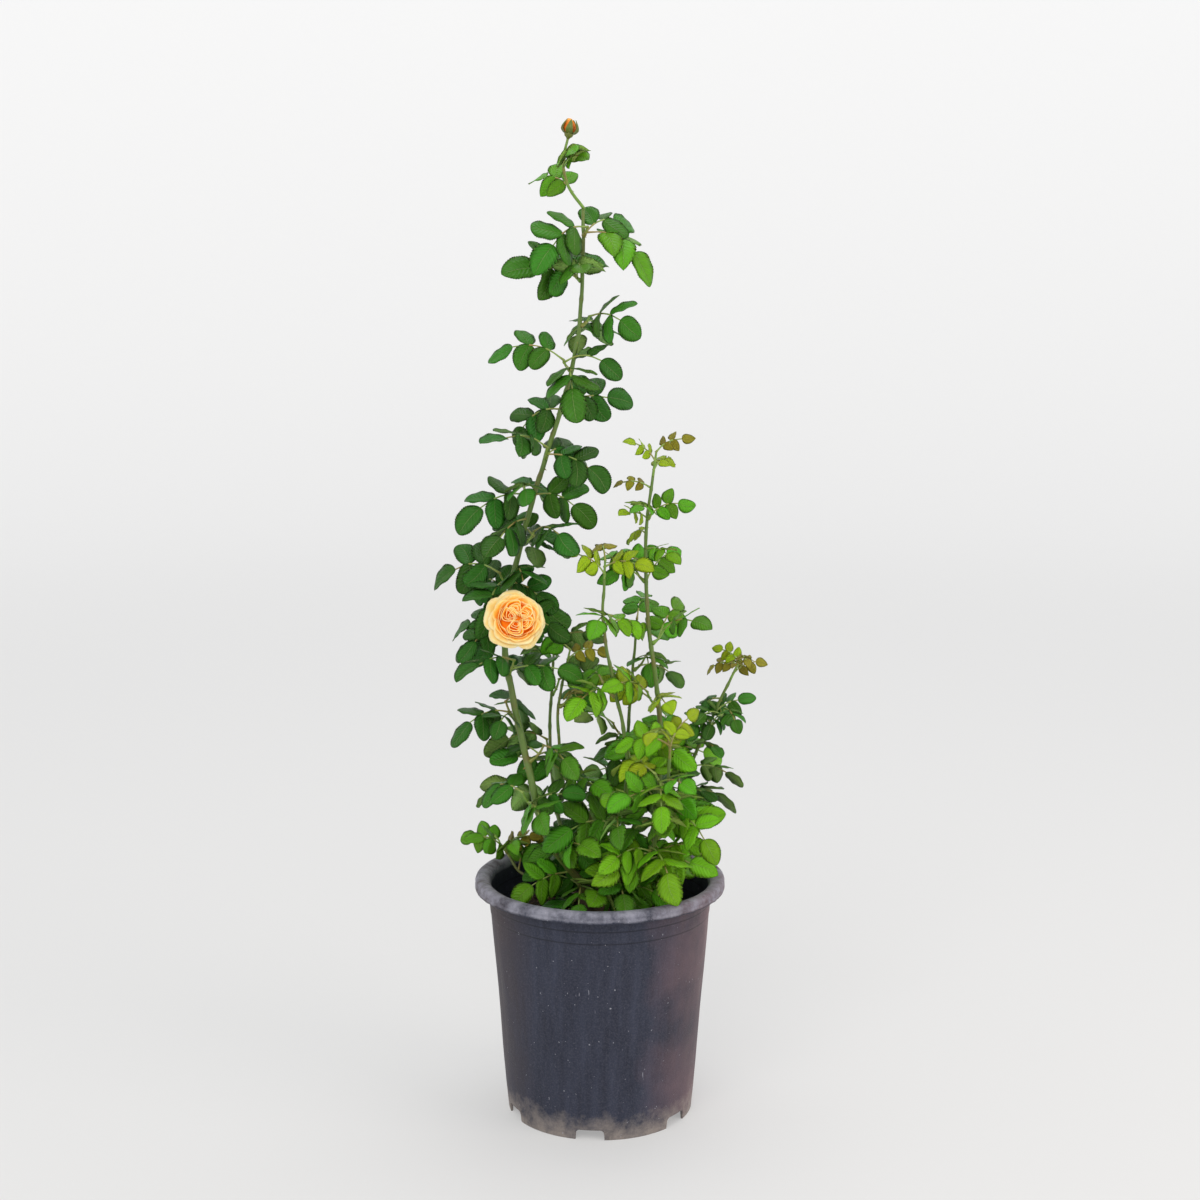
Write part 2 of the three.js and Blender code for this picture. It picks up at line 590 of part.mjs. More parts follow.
function makeBloom(tall) {
  const facing = new THREE.Vector3(...BLOOM_FACING).normalize();
  const centre = new THREE.Vector3(...BLOOM_CENTRE);
  const R = BLOOM_RADIUS;
  const outline = [[0, -0.66 * R], [0.2 * R, -0.62 * R], [0.55 * R, -0.42 * R], [0.9 * R, -0.1 * R],
    [R, 0.16 * R], [0.86 * R, 0.36 * R], [0.6 * R, 0.44 * R], [0.3 * R, 0.4 * R], [0, 0.28 * R]];
  const bloom = turned(outline, 16, facing, centre, 0.05);
  const place = placeOn(tall, BLOOM_CENTRE[2] - 40);
  const back = centre.clone().addScaledVector(facing, -0.6 * R);
  const out = back.clone().sub(place.middle).setZ(0).normalize();
  const radii = Array(7).fill(NECK_RADIUS);
  const { neck, sets } = seat(tall, place.middle, out, (start) => {
    const middle = start.clone().lerp(back, 0.5).addScaledVector(out, 3).setZ(start.z + 8);
    const points = new THREE.CatmullRomCurve3([start, middle, back], false, 'catmullrom', 0.5).getPoints(6);
    return { neck: points, sets: limbSets(points, radii, 6, 'bloom') };
  });
  taken.push(convex(outline.flatMap(([radius, along]) => [0, 1, 2, 3, 4, 5].map((k) => {
    const side = new THREE.Vector3(1, 0, 0).cross(facing).normalize().applyAxisAngle(facing, k * Math.PI / 3);
    return centre.clone().addScaledVector(facing, along).addScaledVector(side, 1.1 * radius);
  })), 0, 'bloom'), ...sets);
  add('bloom_shoot', geometryOf(wholeBody([solid(bloom), solid(limb(neck, radii, 6))])), petal);
}

// The bud sits at the tip of a shoot, on its swollen green hip.
function budOn(points) {
  const tip = points[points.length - 1];
  const facing = tip.clone().sub(points[points.length - 2]).normalize();
  const r = BUD_RADIUS;
  const outline = [[0, -3], [0.4 * r, -2], [0.62 * r, 3], [r, 10], [0.9 * r, 16],
    [0.4 * r, BUD_LENGTH - 3], [0, BUD_LENGTH]];
  taken.push(convex([0, 12, BUD_LENGTH].map((h) => tip.clone().addScaledVector(facing, h)), r, 'bud'));
  return solid(turned(outline, 10, facing, tip, 0));
}

// ---------------------------------------------------------------- the whole plant

makePot();
makeCompost();
makeUnion();
CANES.forEach(makeCane);
makeBloom(CANES[0]);

let shootNumber = 0;

// A cane ends in a shoot that goes on from its tip, straight on or with a lean of its own.
function makeTip(cane) {
  const top = cane.points[cane.points.length - 1];
  const heading = headings(cane.points)[cane.points.length - 1];
  const { atan2, hypot } = Math;
  const straight = [atan2(heading.y, heading.x), atan2(heading.z, hypot(heading.x, heading.y)), 0];
  const [bearing, slope, bend] = cane.tip.lean ?? straight.map(THREE.MathUtils.radToDeg);
  makeShoot(`${cane.name}_top`, shootNumber, {
    cane, stems: [{ from: top, out: heading, bearing, slope, bend }], length: cane.tip.length,
    radius: cane.radius[1],
    leaves: cane.tip.leaves, turn: (leaf) => cane.tip.bearing + 144 * leaf - bearing,
    leafSlope: cane.slope + 14, scale: cane.tip.size ?? 0.9 * cane.size[1], offset: 0, bud: cane === CANES[0],
  });
  shootNumber += 1;
}

// A side shoot leaves the cane at its bearing, or as near to it as there is room.
function makeSideShoot(cane, i) {
  const { count, from, to, bearing, turn, length, leaves } = cane.shoots;
  const share = count > 1 ? i / (count - 1) : 0;
  const place = placeOn(cane, from + (to - from) * share);
  const aim = bearing + turn * i + spread(shootNumber, 0, 8, 10);
  const stems = [0, 20, -20, 40, -40, 70, -70, 100, -100, 140, 180].map((swing) => {
    const out = compass(aim + swing);
    out.addScaledVector(place.heading, -out.dot(place.heading)).normalize();
    const from = place.middle.clone().addScaledVector(out, 0.7 * place.radius);
    return { from, out, bearing: aim + swing, slope: 38, bend: 30 };
  });
  makeShoot(`${cane.name}_shoot_${i + 1}`, shootNumber, {
    cane, stems, length: mix(length, share), radius: TWIG_RADIUS, leaves: Math.round(mix(leaves, share)),
    turn: (leaf) => [62, -62, 8][leaf], leafSlope: cane.slope, scale: mix(cane.size, share), offset: 30,
  });
  shootNumber += 1;
}

CANES.forEach(makeTip);
for (const cane of CANES) {
  for (let i = 0; i < cane.shoots.count; i += 1) makeSideShoot(cane, i);
}

export default plant;
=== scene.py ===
# A climbing rose in a black nursery pot, about 1.2 m tall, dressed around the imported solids.
# The sections follow the plant as it is put together: pot, compost, bud union, canes, the leafing
# rule, twigs, leaves, bloom and bud. Lengths are in millimetres until a mesh is made, in metres.

from collections import namedtuple

import bpy
import numpy as np
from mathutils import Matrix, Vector


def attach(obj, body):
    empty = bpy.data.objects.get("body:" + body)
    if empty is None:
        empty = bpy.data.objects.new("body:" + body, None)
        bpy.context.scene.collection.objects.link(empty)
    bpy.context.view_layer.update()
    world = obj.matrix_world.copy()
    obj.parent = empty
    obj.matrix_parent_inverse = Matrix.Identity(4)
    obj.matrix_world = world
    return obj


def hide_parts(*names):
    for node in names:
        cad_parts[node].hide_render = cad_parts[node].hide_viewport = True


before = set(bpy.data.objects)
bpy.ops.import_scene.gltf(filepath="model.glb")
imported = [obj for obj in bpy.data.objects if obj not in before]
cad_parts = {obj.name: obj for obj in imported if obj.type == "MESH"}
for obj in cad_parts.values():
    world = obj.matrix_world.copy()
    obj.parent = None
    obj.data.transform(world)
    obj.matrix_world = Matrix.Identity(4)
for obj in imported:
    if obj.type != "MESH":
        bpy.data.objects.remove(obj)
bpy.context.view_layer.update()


# ---------------------------------------------------------------- camera, paper floor and light
# A photographer's table: one camera at the height of the bush's middle, tipped down a little, a pale paper
# sweep that curves up all round and glows with painted light that grows towards its far edge, and large soft
# boxes above and to both sides.

CAMERA_PLACE = (0.0, -2.2958, 1.00566)
CAMERA_TILT = 80.5958
CAMERA_LENS = 59.195
SENSOR = 36.0

PAPER_FLAT = 5.0
PAPER_RISE = 4.0
PAPER_TONE = "#b0b0b0"
ROOM_TONE = "#f7f7f7"


def linear(code):
    """sRGB hex to linear RGBA: c/12.92 near black, else ((c + 0.055)/1.055) to the power 2.4."""
    c = np.array([int(code[i:i + 2], 16) for i in (1, 3, 5)]) / 255
    c = np.where(c <= 0.04045, c / 12.92, ((c + 0.055) / 1.055) ** 2.4)
    return (*c.tolist(), 1.0)


def add_node(tree, kind, inputs, **settings):
    """A node with its settings; each input, by name or number, gets a value or a link from a socket."""
    new = tree.nodes.new(kind)
    for name, value in settings.items():
        setattr(new, name, value)
    for key, value in inputs.items():
        if isinstance(value, bpy.types.NodeSocket):
            tree.links.new(value, new.inputs[key])
        else:
            new.inputs[key].default_value = value
    return new


def new_material(name):
    """An empty material: its node tree, its Object coordinates, and a Principled shader on its output."""
    material = bpy.data.materials.new(name)
    material.use_nodes = True
    tree = material.node_tree
    tree.nodes.clear()
    place = add_node(tree, "ShaderNodeTexCoord", {}).outputs["Object"]
    shader = add_node(tree, "ShaderNodeBsdfPrincipled", {})
    add_node(tree, "ShaderNodeOutputMaterial", {"Surface": shader.outputs["BSDF"]})
    return material, tree, place, shader


def ring_surface(rings):
    """Rows of rings (rows, around, 3) as one closed skin: quads between rings, a fan to a pole at each end.
    It faces outwards when the rings turn anticlockwise about the way the rows run."""
    rows, around = rings.shape[:2]
    at = np.arange(rows * around).reshape(rows, around)
    right = np.roll(at, -1, axis=1)
    quads = np.stack([at[:-1], right[:-1], right[1:], at[1:]], axis=-1).reshape(-1, 4)
    poles = np.stack([rings[0].mean(0), rings[-1].mean(0)])
    first = np.stack([right[0], at[0], np.full(around, rows * around)], axis=-1)
    last = np.stack([at[-1], right[-1], np.full(around, rows * around + 1)], axis=-1)
    vertices = np.concatenate([rings.reshape(-1, 3), poles])
    return vertices, quads.tolist() + first.tolist() + last.tolist()


def add_piece(name, vertices, faces, materials, uv=None, shades=None, smooth=True):
    """A mesh object from millimetre vertices. uv is per vertex, shades is a material number per face."""
    mesh = bpy.data.meshes.new(name)
    mesh.from_pydata(np.asarray(vertices) * 0.001, [], faces)
    for material in materials:
        mesh.materials.append(material)
    corners = np.zeros(len(mesh.loops), dtype=np.int32)
    mesh.loops.foreach_get("vertex_index", corners)
    if uv is not None:
        layer = mesh.uv_layers.new(name="UVMap")
        layer.data.foreach_set("uv", np.asarray(uv, dtype=np.float32)[corners].ravel())
    if shades is not None:
        mesh.polygons.foreach_set("material_index", np.asarray(shades, dtype=np.int32))
    mesh.polygons.foreach_set("use_smooth", np.full(len(mesh.polygons), smooth))
    mesh.update()
    piece = bpy.data.objects.new(name, mesh)
    bpy.context.scene.collection.objects.link(piece)
    return piece


camera = bpy.data.objects.new("camera", bpy.data.cameras.new("camera"))
camera.location = CAMERA_PLACE
camera.rotation_euler = (np.radians(CAMERA_TILT), 0, 0)
camera.data.lens = CAMERA_LENS
camera.data.sensor_width = SENSOR
bpy.context.scene.collection.objects.link(camera)
bpy.context.scene.camera = camera
bpy.context.scene.view_settings.view_transform = "Standard"

# The sweep: a flat disc whose edge turns up as a quarter circle. It has no thickness, as paper has none.
rise = np.linspace(0, np.pi / 2, 16)
sweep_radius = np.concatenate([[0.3, 1.2, 2.6], PAPER_FLAT + PAPER_RISE * np.sin(rise)])
sweep_height = np.concatenate([[0, 0, 0], PAPER_RISE * (1 - np.cos(rise))])
turn = np.linspace(0, 2 * np.pi, 96, endpoint=False)
sweep = np.stack([np.outer(sweep_radius, np.cos(-turn)), np.outer(sweep_radius, np.sin(-turn)),
                  np.repeat(sweep_height[:, None], 96, axis=1)], axis=-1)
sweep_vertices, sweep_faces = ring_surface(sweep * 1000)
paper, tree, place, shader = new_material("matt_background_paper")
# Painted glow: the paper emits light, from 0.33 near the middle to 0.6 far out on the sweep.
away = add_node(tree, "ShaderNodeVectorMath", {0: place}, operation="LENGTH").outputs["Value"]
painted_glow = add_node(tree, "ShaderNodeMapRange", {"Value": away, "From Min": 0.6, "From Max": 9.0, "To Min": 0.33,
                                             "To Max": 0.6})
tree.links.new(painted_glow.outputs[0], shader.inputs["Emission Strength"])
shader.inputs["Emission Color"].default_value = (1, 1, 1, 1)
shader.inputs["Base Color"].default_value = linear(PAPER_TONE)
shader.inputs["Roughness"].default_value = 0.95
shader.inputs["Specular IOR Level"].default_value = 0.1
add_piece("paper_sweep", sweep_vertices[:-1], sweep_faces[:-96], [paper])

world = bpy.data.worlds.new("studio_room")
world.use_nodes = True
world.node_tree.nodes["Background"].inputs["Color"].default_value = linear(ROOM_TONE)
world.node_tree.nodes["Background"].inputs["Strength"].default_value = 0.7
bpy.context.scene.world = world


def add_soft_box(name, place, aim, size, watts, tone):
    """A square area light at a place in metres, turned so that it faces its aim."""
    light = bpy.data.lights.new(name, "AREA")
    light.shape = "SQUARE"
    light.size = size
    light.energy = watts
    light.color = linear(tone)[:3]
    box = bpy.data.objects.new(name, light)
    box.location = place
    box.rotation_euler = (Vector(aim) - Vector(place)).to_track_quat("-Z", "Y").to_euler()
    bpy.context.scene.collection.objects.link(box)


add_soft_box("key_box", (-0.9, -2.7, 2.9), (0, 0, 0.55), 1.9, 40, "#fffdf8")
add_soft_box("fill_box", (2.4, -1.3, 1.5), (0, 0, 0.5), 1.6, 22, "#fff4ec")
add_soft_box("top_box", (0.3, 0.9, 3.3), (0, 0, 0.6), 2.0, 26, "#ffffff")


# ---------------------------------------------------------------- nursery pot
# A thin injection-moulded polypropylene container: a rolled lip that hangs over the wall, two
# faint mould steps under it, and a foot cut by six drainage notches. Its foot has a chalky bloom.

POT_HEIGHT = 290
LIP_FOOT = 277                        # underside of the lip's hanging skirt
BASE_RADIUS = 112
WALL_TOP_RADIUS = 134
POT_WALL = 2.6
CHANNEL_HEIGHT = 12
NOTCH_COUNT = 6
NOTCH_WIDTH = 34
NOTCH_BEARING = -96.2                 # degrees from +X, the notch nearest the front
NOTCH_CORNER = 5                      # radius of a notch's upper corners
FOOT_BAND = 32                        # the wall's rows follow the notches up to here
MOULD_STEPS = (247, 262)              # heights of the two steps below the lip
MOULD_STEP_DEPTH = 1.0
SKIRT_RADIUS = 147                    # the lip's hanging skirt lies outside it


def wall_radius(height):
    """Outside of the pot's wall: a straight taper from the foot to just under the lip."""
    return BASE_RADIUS + (WALL_TOP_RADIUS - BASE_RADIUS) * np.asarray(height) / LIP_FOOT


def ripple(points, wavelength, seed, waves=7):
    """Smooth noise about -1 to 1: the mean of plane waves in seeded directions, near one wavelength."""
    rng = np.random.default_rng(seed)
    heading = rng.normal(size=(waves, 3))
    heading /= np.linalg.norm(heading, axis=1, keepdims=True)
    pitch = 2 * np.pi / (wavelength * rng.uniform(0.6, 1.5, waves))
    phase = np.asarray(points) @ (heading * pitch[:, None]).T + rng.uniform(0, 2 * np.pi, waves)
    return 1.6 * np.sin(phase).mean(-1)


def notch_ceiling(arc):
    """Height of the foot's lower edge at a distance along the foot from a notch's middle: a slot
    with rounded upper corners, and zero beside it."""
    into_corner = np.clip(np.abs(arc) - (NOTCH_WIDTH / 2 - NOTCH_CORNER), 0, NOTCH_CORNER)
    ceiling = CHANNEL_HEIGHT - NOTCH_CORNER + np.sqrt(NOTCH_CORNER ** 2 - into_corner ** 2)
    return np.where(np.abs(arc) < NOTCH_WIDTH / 2 + 0.05, ceiling, 0)


def pot_rings():
    """The pot's section carried round its axis: out under the floor, up the wall, over the lip, and
    down inside to the floor. Rows near the foot are squeezed upwards over each notch."""
    edge = NOTCH_WIDTH / 2
    half = np.concatenate([np.linspace(0, edge - 5, 5), edge - np.array([4, 3, 2, 1, 0.4, 0]),
                           edge + np.array([0.5, 1.5, 3, 6]), np.linspace(edge + 9, 56, 11)])
    arc = np.concatenate([-half[:0:-1], half])
    sector = 2 * np.pi * BASE_RADIUS / NOTCH_COUNT
    arc = np.tile(arc, NOTCH_COUNT)
    bearing = np.radians(NOTCH_BEARING) + arc / BASE_RADIUS
    bearing = bearing + np.repeat(np.arange(NOTCH_COUNT), len(half) * 2 - 1) * sector / BASE_RADIUS
    ceiling = notch_ceiling(arc)

    under = [(40, 0), (78, 0), (79.6, 0.3), (80.6, 1.6), (82, 10.6), (83.4, 12), (108, 12), (109, 11.6)]
    foot = [(109.4, 0.7), (109.9, 0.05), (111.4, 0), (112, 0.7)]
    heights = [2, 4, 7, 11, 15, 20, 26, FOOT_BAND, 42, 58, 78, 100, 124, 150, 176, 202, 224, 238]
    for step in MOULD_STEPS:
        heights += [step - 1.2, step, step + 0.8, step + 7]
    lip = [(wall_radius(281) + 0.6, 283), (136.5, 285.6), (140, 286.2), (146, 286), (147.3, 284.6),
           (147.5, 279.5), (147.9, 277.3), (148.8, 276.5), (150, 276.9), (150.5, 278.4), (150.4, 280.6),
           (149.5, 281.5), (149.4, 282.4), (150.1, 283.6), (150.2, 285.4), (149.4, 287.6), (147.4, 289.3),
           (144.4, 290), (141, 289.9), (137.4, 288.9), (134.2, 287), (132, 284), (131.2, 280)]
    inside = [(wall_radius(h) - POT_WALL, h) for h in (274, 262, 248, 232, 200, 120, 40, 19)]
    floor = [(109, 15.6), (106, 14.6), (84, 14.6), (80.4, 14), (79, 12), (77.4, 3.6), (75.6, 2.6), (40, 2.6)]

    wall = [(wall_radius(h), h) for h in heights]
    section = np.array(under + foot + wall + lip + inside + floor, dtype=float)
    radius = np.repeat(section[:, :1], len(bearing), axis=1)
    height = np.repeat(section[:, 1:], len(bearing), axis=1)

    inner_foot = slice(0, len(under))
    low = height[inner_foot]
    height[inner_foot] = np.where(low > 11, np.maximum(low, ceiling), low)
    outer_foot = slice(len(under), len(under) + len(foot) + len(heights))
    low = height[outer_foot]
    squeezed = ceiling + low * (FOOT_BAND - ceiling) / FOOT_BAND
    height[outer_foot] = np.where(low < FOOT_BAND, squeezed, low)

    wall_rows = slice(len(under) + len(foot), outer_foot.stop)
    radius[wall_rows] = wall_radius(height[wall_rows])
    for step in MOULD_STEPS:
        radius[wall_rows] += MOULD_STEP_DEPTH / 2 * np.clip((height[wall_rows] - step + 0.6) / 1.2, 0, 1)

    rings = np.stack([radius * np.cos(bearing), radius * np.sin(bearing), height], axis=-1)
    outwards = rings[..., :2] / np.maximum(radius, 1)[..., None]
    wobble = 0.5 * ripple(rings, 120, 11) + 0.12 * ripple(rings, 14, 12)
    rings[..., :2] += np.where(radius > 100, wobble, 0)[..., None] * outwards
    skirt = (np.abs(height - LIP_FOOT) < 1.7) & (radius > SKIRT_RADIUS)
    rings[..., 2] += np.where(skirt, 0.5 * ripple(rings, 6, 13), 0)
    return rings


def per_metre(size):
    """How many grains of this many millimetres lie in a metre: the scale of a noise with such grains."""
    return 1000 / size


# Scuffed polypropylene: slate black, with a painted warm reflection on both flanks and painted light on the
# right side, grit scratches, a chalky lip brightened by a painted highlight, painted shade in lines along the
# two mould steps, and white lime and dried mud that climb a hand's width up from the foot.
pot_plastic, tree, place, shader = new_material("moulded_polypropylene")
split = add_node(tree, "ShaderNodeSeparateXYZ", {"Vector": place})
height = split.outputs["Z"]
upright = add_node(tree, "ShaderNodeMapping", {"Vector": place, "Scale": (1, 1, 0.12)})
slanted = add_node(tree, "ShaderNodeMapping", {"Vector": place, "Scale": (1, 1, 0.16),
                                               "Rotation": (0, 0.6, 0)})
# Grain sizes in millimetres: run-down streaks, cloudy patches that break up the painted reflection, the
# painted light and the scratches, texture of the mould, mud, grit, scratches.
streaks, clouds, grain, mud, specks, nicks = [
    add_node(tree, "ShaderNodeTexNoise", {"Vector": where, "Scale": per_metre(size), "Detail": detail,
                                          "Roughness": roughness}).outputs["Fac"]
    for where, size, detail, roughness in (
        (upright.outputs["Vector"], 16.7, 8, 0.72), (place, 90.9, 4, 0.55), (place, 2.08, 5, 0.75),
        (place, 23.8, 9, 0.72), (place, 3.85, 2, 0.5), (slanted.outputs["Vector"], 2.38, 1, 0.5))]
aside = add_node(tree, "ShaderNodeMath", {0: split.outputs["X"]}, operation="ABSOLUTE").outputs[0]
normal = add_node(tree, "ShaderNodeNewGeometry", {}).outputs["Normal"]
outward = add_node(tree, "ShaderNodeVectorMath", {0: place, 1: normal}, operation="DOT_PRODUCT")
flank, outside, foot_share, lip_share = [
    add_node(tree, "ShaderNodeMapRange", {"Value": value, "From Min": low, "From Max": high}).outputs[0]
    for value, low, high in ((aside, 0.075, 0.13), (outward.outputs["Value"], 0.0, 0.05),
                             (height, 0.066, 0.0), (height, 0.272, 0.28))]
# The lip's pale coat is partly real chalk and partly a painted highlight on its roll and skirt.
patches, muddy, lip_chalk_and_highlight, scratched = [
    add_node(tree, "ShaderNodeMath", {0: one, 1: other}, operation="MULTIPLY").outputs[0]
    for one, other in ((outside, clouds), (foot_share, mud), (lip_share, mud), (nicks, clouds))]
# Painted light in cloudy patches on the outside: a warm reflection on both flanks, and light on the right
# side.
painted_edge_reflection, painted_right_light = [
    add_node(tree, "ShaderNodeMath", {0: one, 1: patches}, operation="MULTIPLY").outputs[0]
    for one in (flank, split.outputs["X"])]
# Distance from each mould step, for the painted shade lines along the steps.
beside_step = []
for step in MOULD_STEPS:
    above = add_node(tree, "ShaderNodeMath", {0: height, 1: 0.001 * step}, operation="SUBTRACT")
    beside = add_node(tree, "ShaderNodeMath", {0: above.outputs[0]}, operation="ABSOLUTE")
    beside_step.append(beside.outputs[0])

# The coats, each over the last: its share, where that share starts and ends, how much it covers, its tone.
COATS = {
    "streaks": (streaks, 0.38, 0.66, 1.0, "#363a4a"),
    "grain": (grain, 0.44, 0.74, 0.5, "#565763"),
    # Painted warm reflection along the pot's left and right edges.
    "edge reflection": (painted_edge_reflection, 0.0, 0.62, 0.72, "#453431"),
    # Painted light: the right side is lightened to a warm mauve.
    "right side light": (painted_right_light, 0.026, 0.085, 0.62, "#8f7176"),
    "mud": (muddy, 0.24, 0.54, 0.85, "#968c85"),
    # Chalky lip, lightened further by a painted highlight.
    "lip chalk and highlight": (lip_chalk_and_highlight, 0.34, 0.62, 0.8, "#9c9ca9"),
    # Painted shade: near-black rings in the crease of each mould step.
    "lower step shade": (beside_step[0], 0.0012, 0.0005, 0.55, "#101118"),
    "upper step shade": (beside_step[1], 0.0012, 0.0005, 0.55, "#101118"),
    "grit": (specks, 0.73, 0.76, 0.8, "#a2a3ac"),
    "scratches": (scratched, 0.47, 0.5, 0.6, "#9a9ba6"),
}
body, cover = linear("#242735"), {}
for coat, (share, low, high, most, tone) in COATS.items():
    cover[coat] = add_node(tree, "ShaderNodeMapRange", {"Value": share, "From Min": low, "From Max": high,
                                                        "To Max": most}).outputs[0]
    body = add_node(tree, "ShaderNodeMix", {0: cover[coat], 6: body, 7: linear(tone)},
                    data_type="RGBA").outputs[2]
rough = add_node(tree, "ShaderNodeMapRange", {"Value": streaks, "From Min": 0.3, "From Max": 0.75,
                                              "To Min": 0.42, "To Max": 0.66})
pitting = add_node(tree, "ShaderNodeMath", {0: grain, 1: 0.5, 2: cover["mud"]}, operation="MULTIPLY_ADD")
bump = add_node(tree, "ShaderNodeBump", {"Height": pitting.outputs[0], "Strength": 0.6,
                                         "Distance": 0.0008})
tree.links.new(body, shader.inputs["Base Color"])
tree.links.new(rough.outputs[0], shader.inputs["Roughness"])
tree.links.new(bump.outputs["Normal"], shader.inputs["Normal"])
shader.inputs["Specular IOR Level"].default_value = 0.22

pot = add_piece("nursery_pot", *ring_surface(pot_rings()), [pot_plastic])
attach(pot, "root")
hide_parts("pot")


# ---------------------------------------------------------------- compost
# Peat and bark compost, filled to a thumb's depth below the lip and firmed by hand: a lumpy dark
# bed with loose chips of bark and a few white perlite grains.

SOIL_EDGE = 236
SOIL_TOP = 240
SOIL_FOOT = CHANNEL_HEIGHT + POT_WALL + 0.3
UNION_WIDTH = 70
UNION_HEIGHT = 33
CHIP_COUNT = 520
GRAIN_COUNT = 46


def soil_height(x, y):
    """The bed's top: from the level at the wall up to the level round the stems, with lumps and crumbs."""
    radius = np.hypot(x, y)
    share = np.clip((wall_radius(SOIL_EDGE) - radius) / 90, 0, 1)
    spot = np.stack([x, y, np.zeros_like(x)], axis=-1)
    lumps = 1.5 * ripple(spot, 34, 21) + 1.1 * ripple(spot, 12, 22) + 0.7 * ripple(spot, 5, 23, 11)
    return SOIL_EDGE + (SOIL_TOP - SOIL_EDGE) * share - 0.6 + lumps


def soil_rings(around=220):
    """The bed as rings: out under it, up beside the pot's wall, then in over its lumpy top to the middle."""
    turn = np.linspace(0, 2 * np.pi, around, endpoint=False)
    side = np.array([SOIL_FOOT, SOIL_FOOT, 80, 150, 225])
    side_radius = wall_radius(side) - POT_WALL - 0.4
    side_radius[0] = 60
    reach = wall_radius(SOIL_EDGE) - POT_WALL - 0.3
    top_radius = reach * np.linspace(1, 0.012, 64)
    radius = np.concatenate([side_radius, top_radius])
    x = np.outer(radius, np.cos(turn))
    y = np.outer(radius, np.sin(turn))
    z = np.concatenate([np.repeat(side[:, None], around, axis=1), soil_height(x[5:], y[5:])])
    return np.stack([x, y, z], axis=-1)


def turned_at_random(rng, count):
    """Seeded rotation matrices (count, 3, 3) from unit quaternions."""
    q = rng.normal(size=(count, 4))
    w, x, y, z = (q / np.linalg.norm(q, axis=1, keepdims=True)).T
    return np.stack([
        np.stack([1 - 2 * (y * y + z * z), 2 * (x * y - z * w), 2 * (x * z + y * w)], axis=-1),
        np.stack([2 * (x * y + z * w), 1 - 2 * (x * x + z * z), 2 * (y * z - x * w)], axis=-1),
        np.stack([2 * (x * z - y * w), 2 * (y * z + x * w), 1 - 2 * (x * x + y * y)], axis=-1)], axis=1)


def scattered(rng, count, low, high, flatness):
    """Loose bits on the bed: a block with jittered corners, scaled, turned and laid at a random place."""
    square = ((-1, -1), (1, -1), (1, 1), (-1, 1))
    corner = np.array([[x, y, z] for z in (-1, 1) for x, y in square], dtype=float)
    sides = [(0, 3, 2, 1), (4, 5, 6, 7), (0, 1, 5, 4), (1, 2, 6, 5), (2, 3, 7, 6), (3, 0, 4, 7)]
    size = rng.uniform(low, high, (count, 1, 1)) * np.array([0.5, 0.27, flatness])
    bits = (corner + rng.uniform(-0.38, 0.38, (count, 8, 3))) * size
    tilt = turned_at_random(rng, count)
    lean = np.einsum("nij,nkj->nki", tilt, bits)
    lean[..., 2] *= 0.6
    far = wall_radius(SOIL_EDGE) - 12
    radius = np.sqrt(rng.uniform((UNION_WIDTH / 2 + 3) ** 2, far ** 2, count))
    turn = rng.uniform(0, 2 * np.pi, count)
    x, y = radius * np.cos(turn), radius * np.sin(turn)
    lean += np.stack([x, y, soil_height(x, y) + 0.6], axis=-1)[:, None, :]
    faces = [[8 * i + k for k in side] for i in range(count) for side in sides]
    return lean.reshape(-1, 3), faces


def grainy(name, tones, size, detail, raggedness, relief, roughness, by_bit=False):
    """A material mottled between two tones in grains of a size in millimetres, which stand out by a
    relief of (strength, depth in metres), if any. By bit, each loose bit has one tone of its own."""
    material, tree, place, shader = new_material(name)
    share = grain = add_node(tree, "ShaderNodeTexNoise", {
        "Vector": place, "Scale": per_metre(size), "Detail": detail, "Roughness": raggedness}).outputs["Fac"]
    if by_bit:
        share = add_node(tree, "ShaderNodeNewGeometry", {}).outputs["Random Per Island"]
    tone = add_node(tree, "ShaderNodeMix", {0: share, 6: linear(tones[0]), 7: linear(tones[1])},
                    data_type="RGBA")
    tree.links.new(tone.outputs[2], shader.inputs["Base Color"])
    if relief:
        bump = add_node(tree, "ShaderNodeBump", {"Height": grain, "Strength": relief[0],
                                                 "Distance": relief[1]})
        tree.links.new(bump.outputs["Normal"], shader.inputs["Normal"])
    shader.inputs["Roughness"].default_value = roughness
    return material


# Moist compost: nearly black brown, with crumbs a few millimetres across and no gloss.
compost = grainy("moist_compost", ("#15100d", "#3a2c22"), 3.12, 5, 0.7, (0.9, 0.002), 0.92)

bed = add_piece("compost_bed", *ring_surface(soil_rings()), [compost])
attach(bed, "root")
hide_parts("compost")

# Bark chips: brown to grey wood fibres, each chip its own shade.
bark_chip = grainy("bark_chips", ("#241a13", "#6a5138"), 1.43, 3, 0.5, (0.5, 0.0006), 0.85, by_bit=True)

chip_bits = scattered(np.random.default_rng(31), CHIP_COUNT, 4, 13, 0.14)
chips = add_piece("bark_chips", *chip_bits, [bark_chip], smooth=False)
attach(chips, "root")

# Perlite: puffed white volcanic glass, dulled by peat to one even tone, with a foamed skin.
perlite = grainy("perlite_grains", ("#b9b2a6", "#b9b2a6"), 1.67, 2, 0.5, (0.6, 0.0005), 0.9)

grain_bits = scattered(np.random.default_rng(32), GRAIN_COUNT, 2, 4, 0.4)
grains = add_piece("perlite_grains", *grain_bits, [perlite])
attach(grains, "root")


# ---------------------------------------------------------------- bud union
# The knuckle of old wood that every cane rises from: a low corky knob that sits on the compost,
# swollen in a collar round the foot of each cane.

UNION_MIDDLE = SOIL_TOP + 0.45 * UNION_HEIGHT
UNION_CROWN = SOIL_TOP + UNION_HEIGHT - UNION_MIDDLE
FOOT_LIFT = 52                        # degrees up the union's crown at which the canes stand

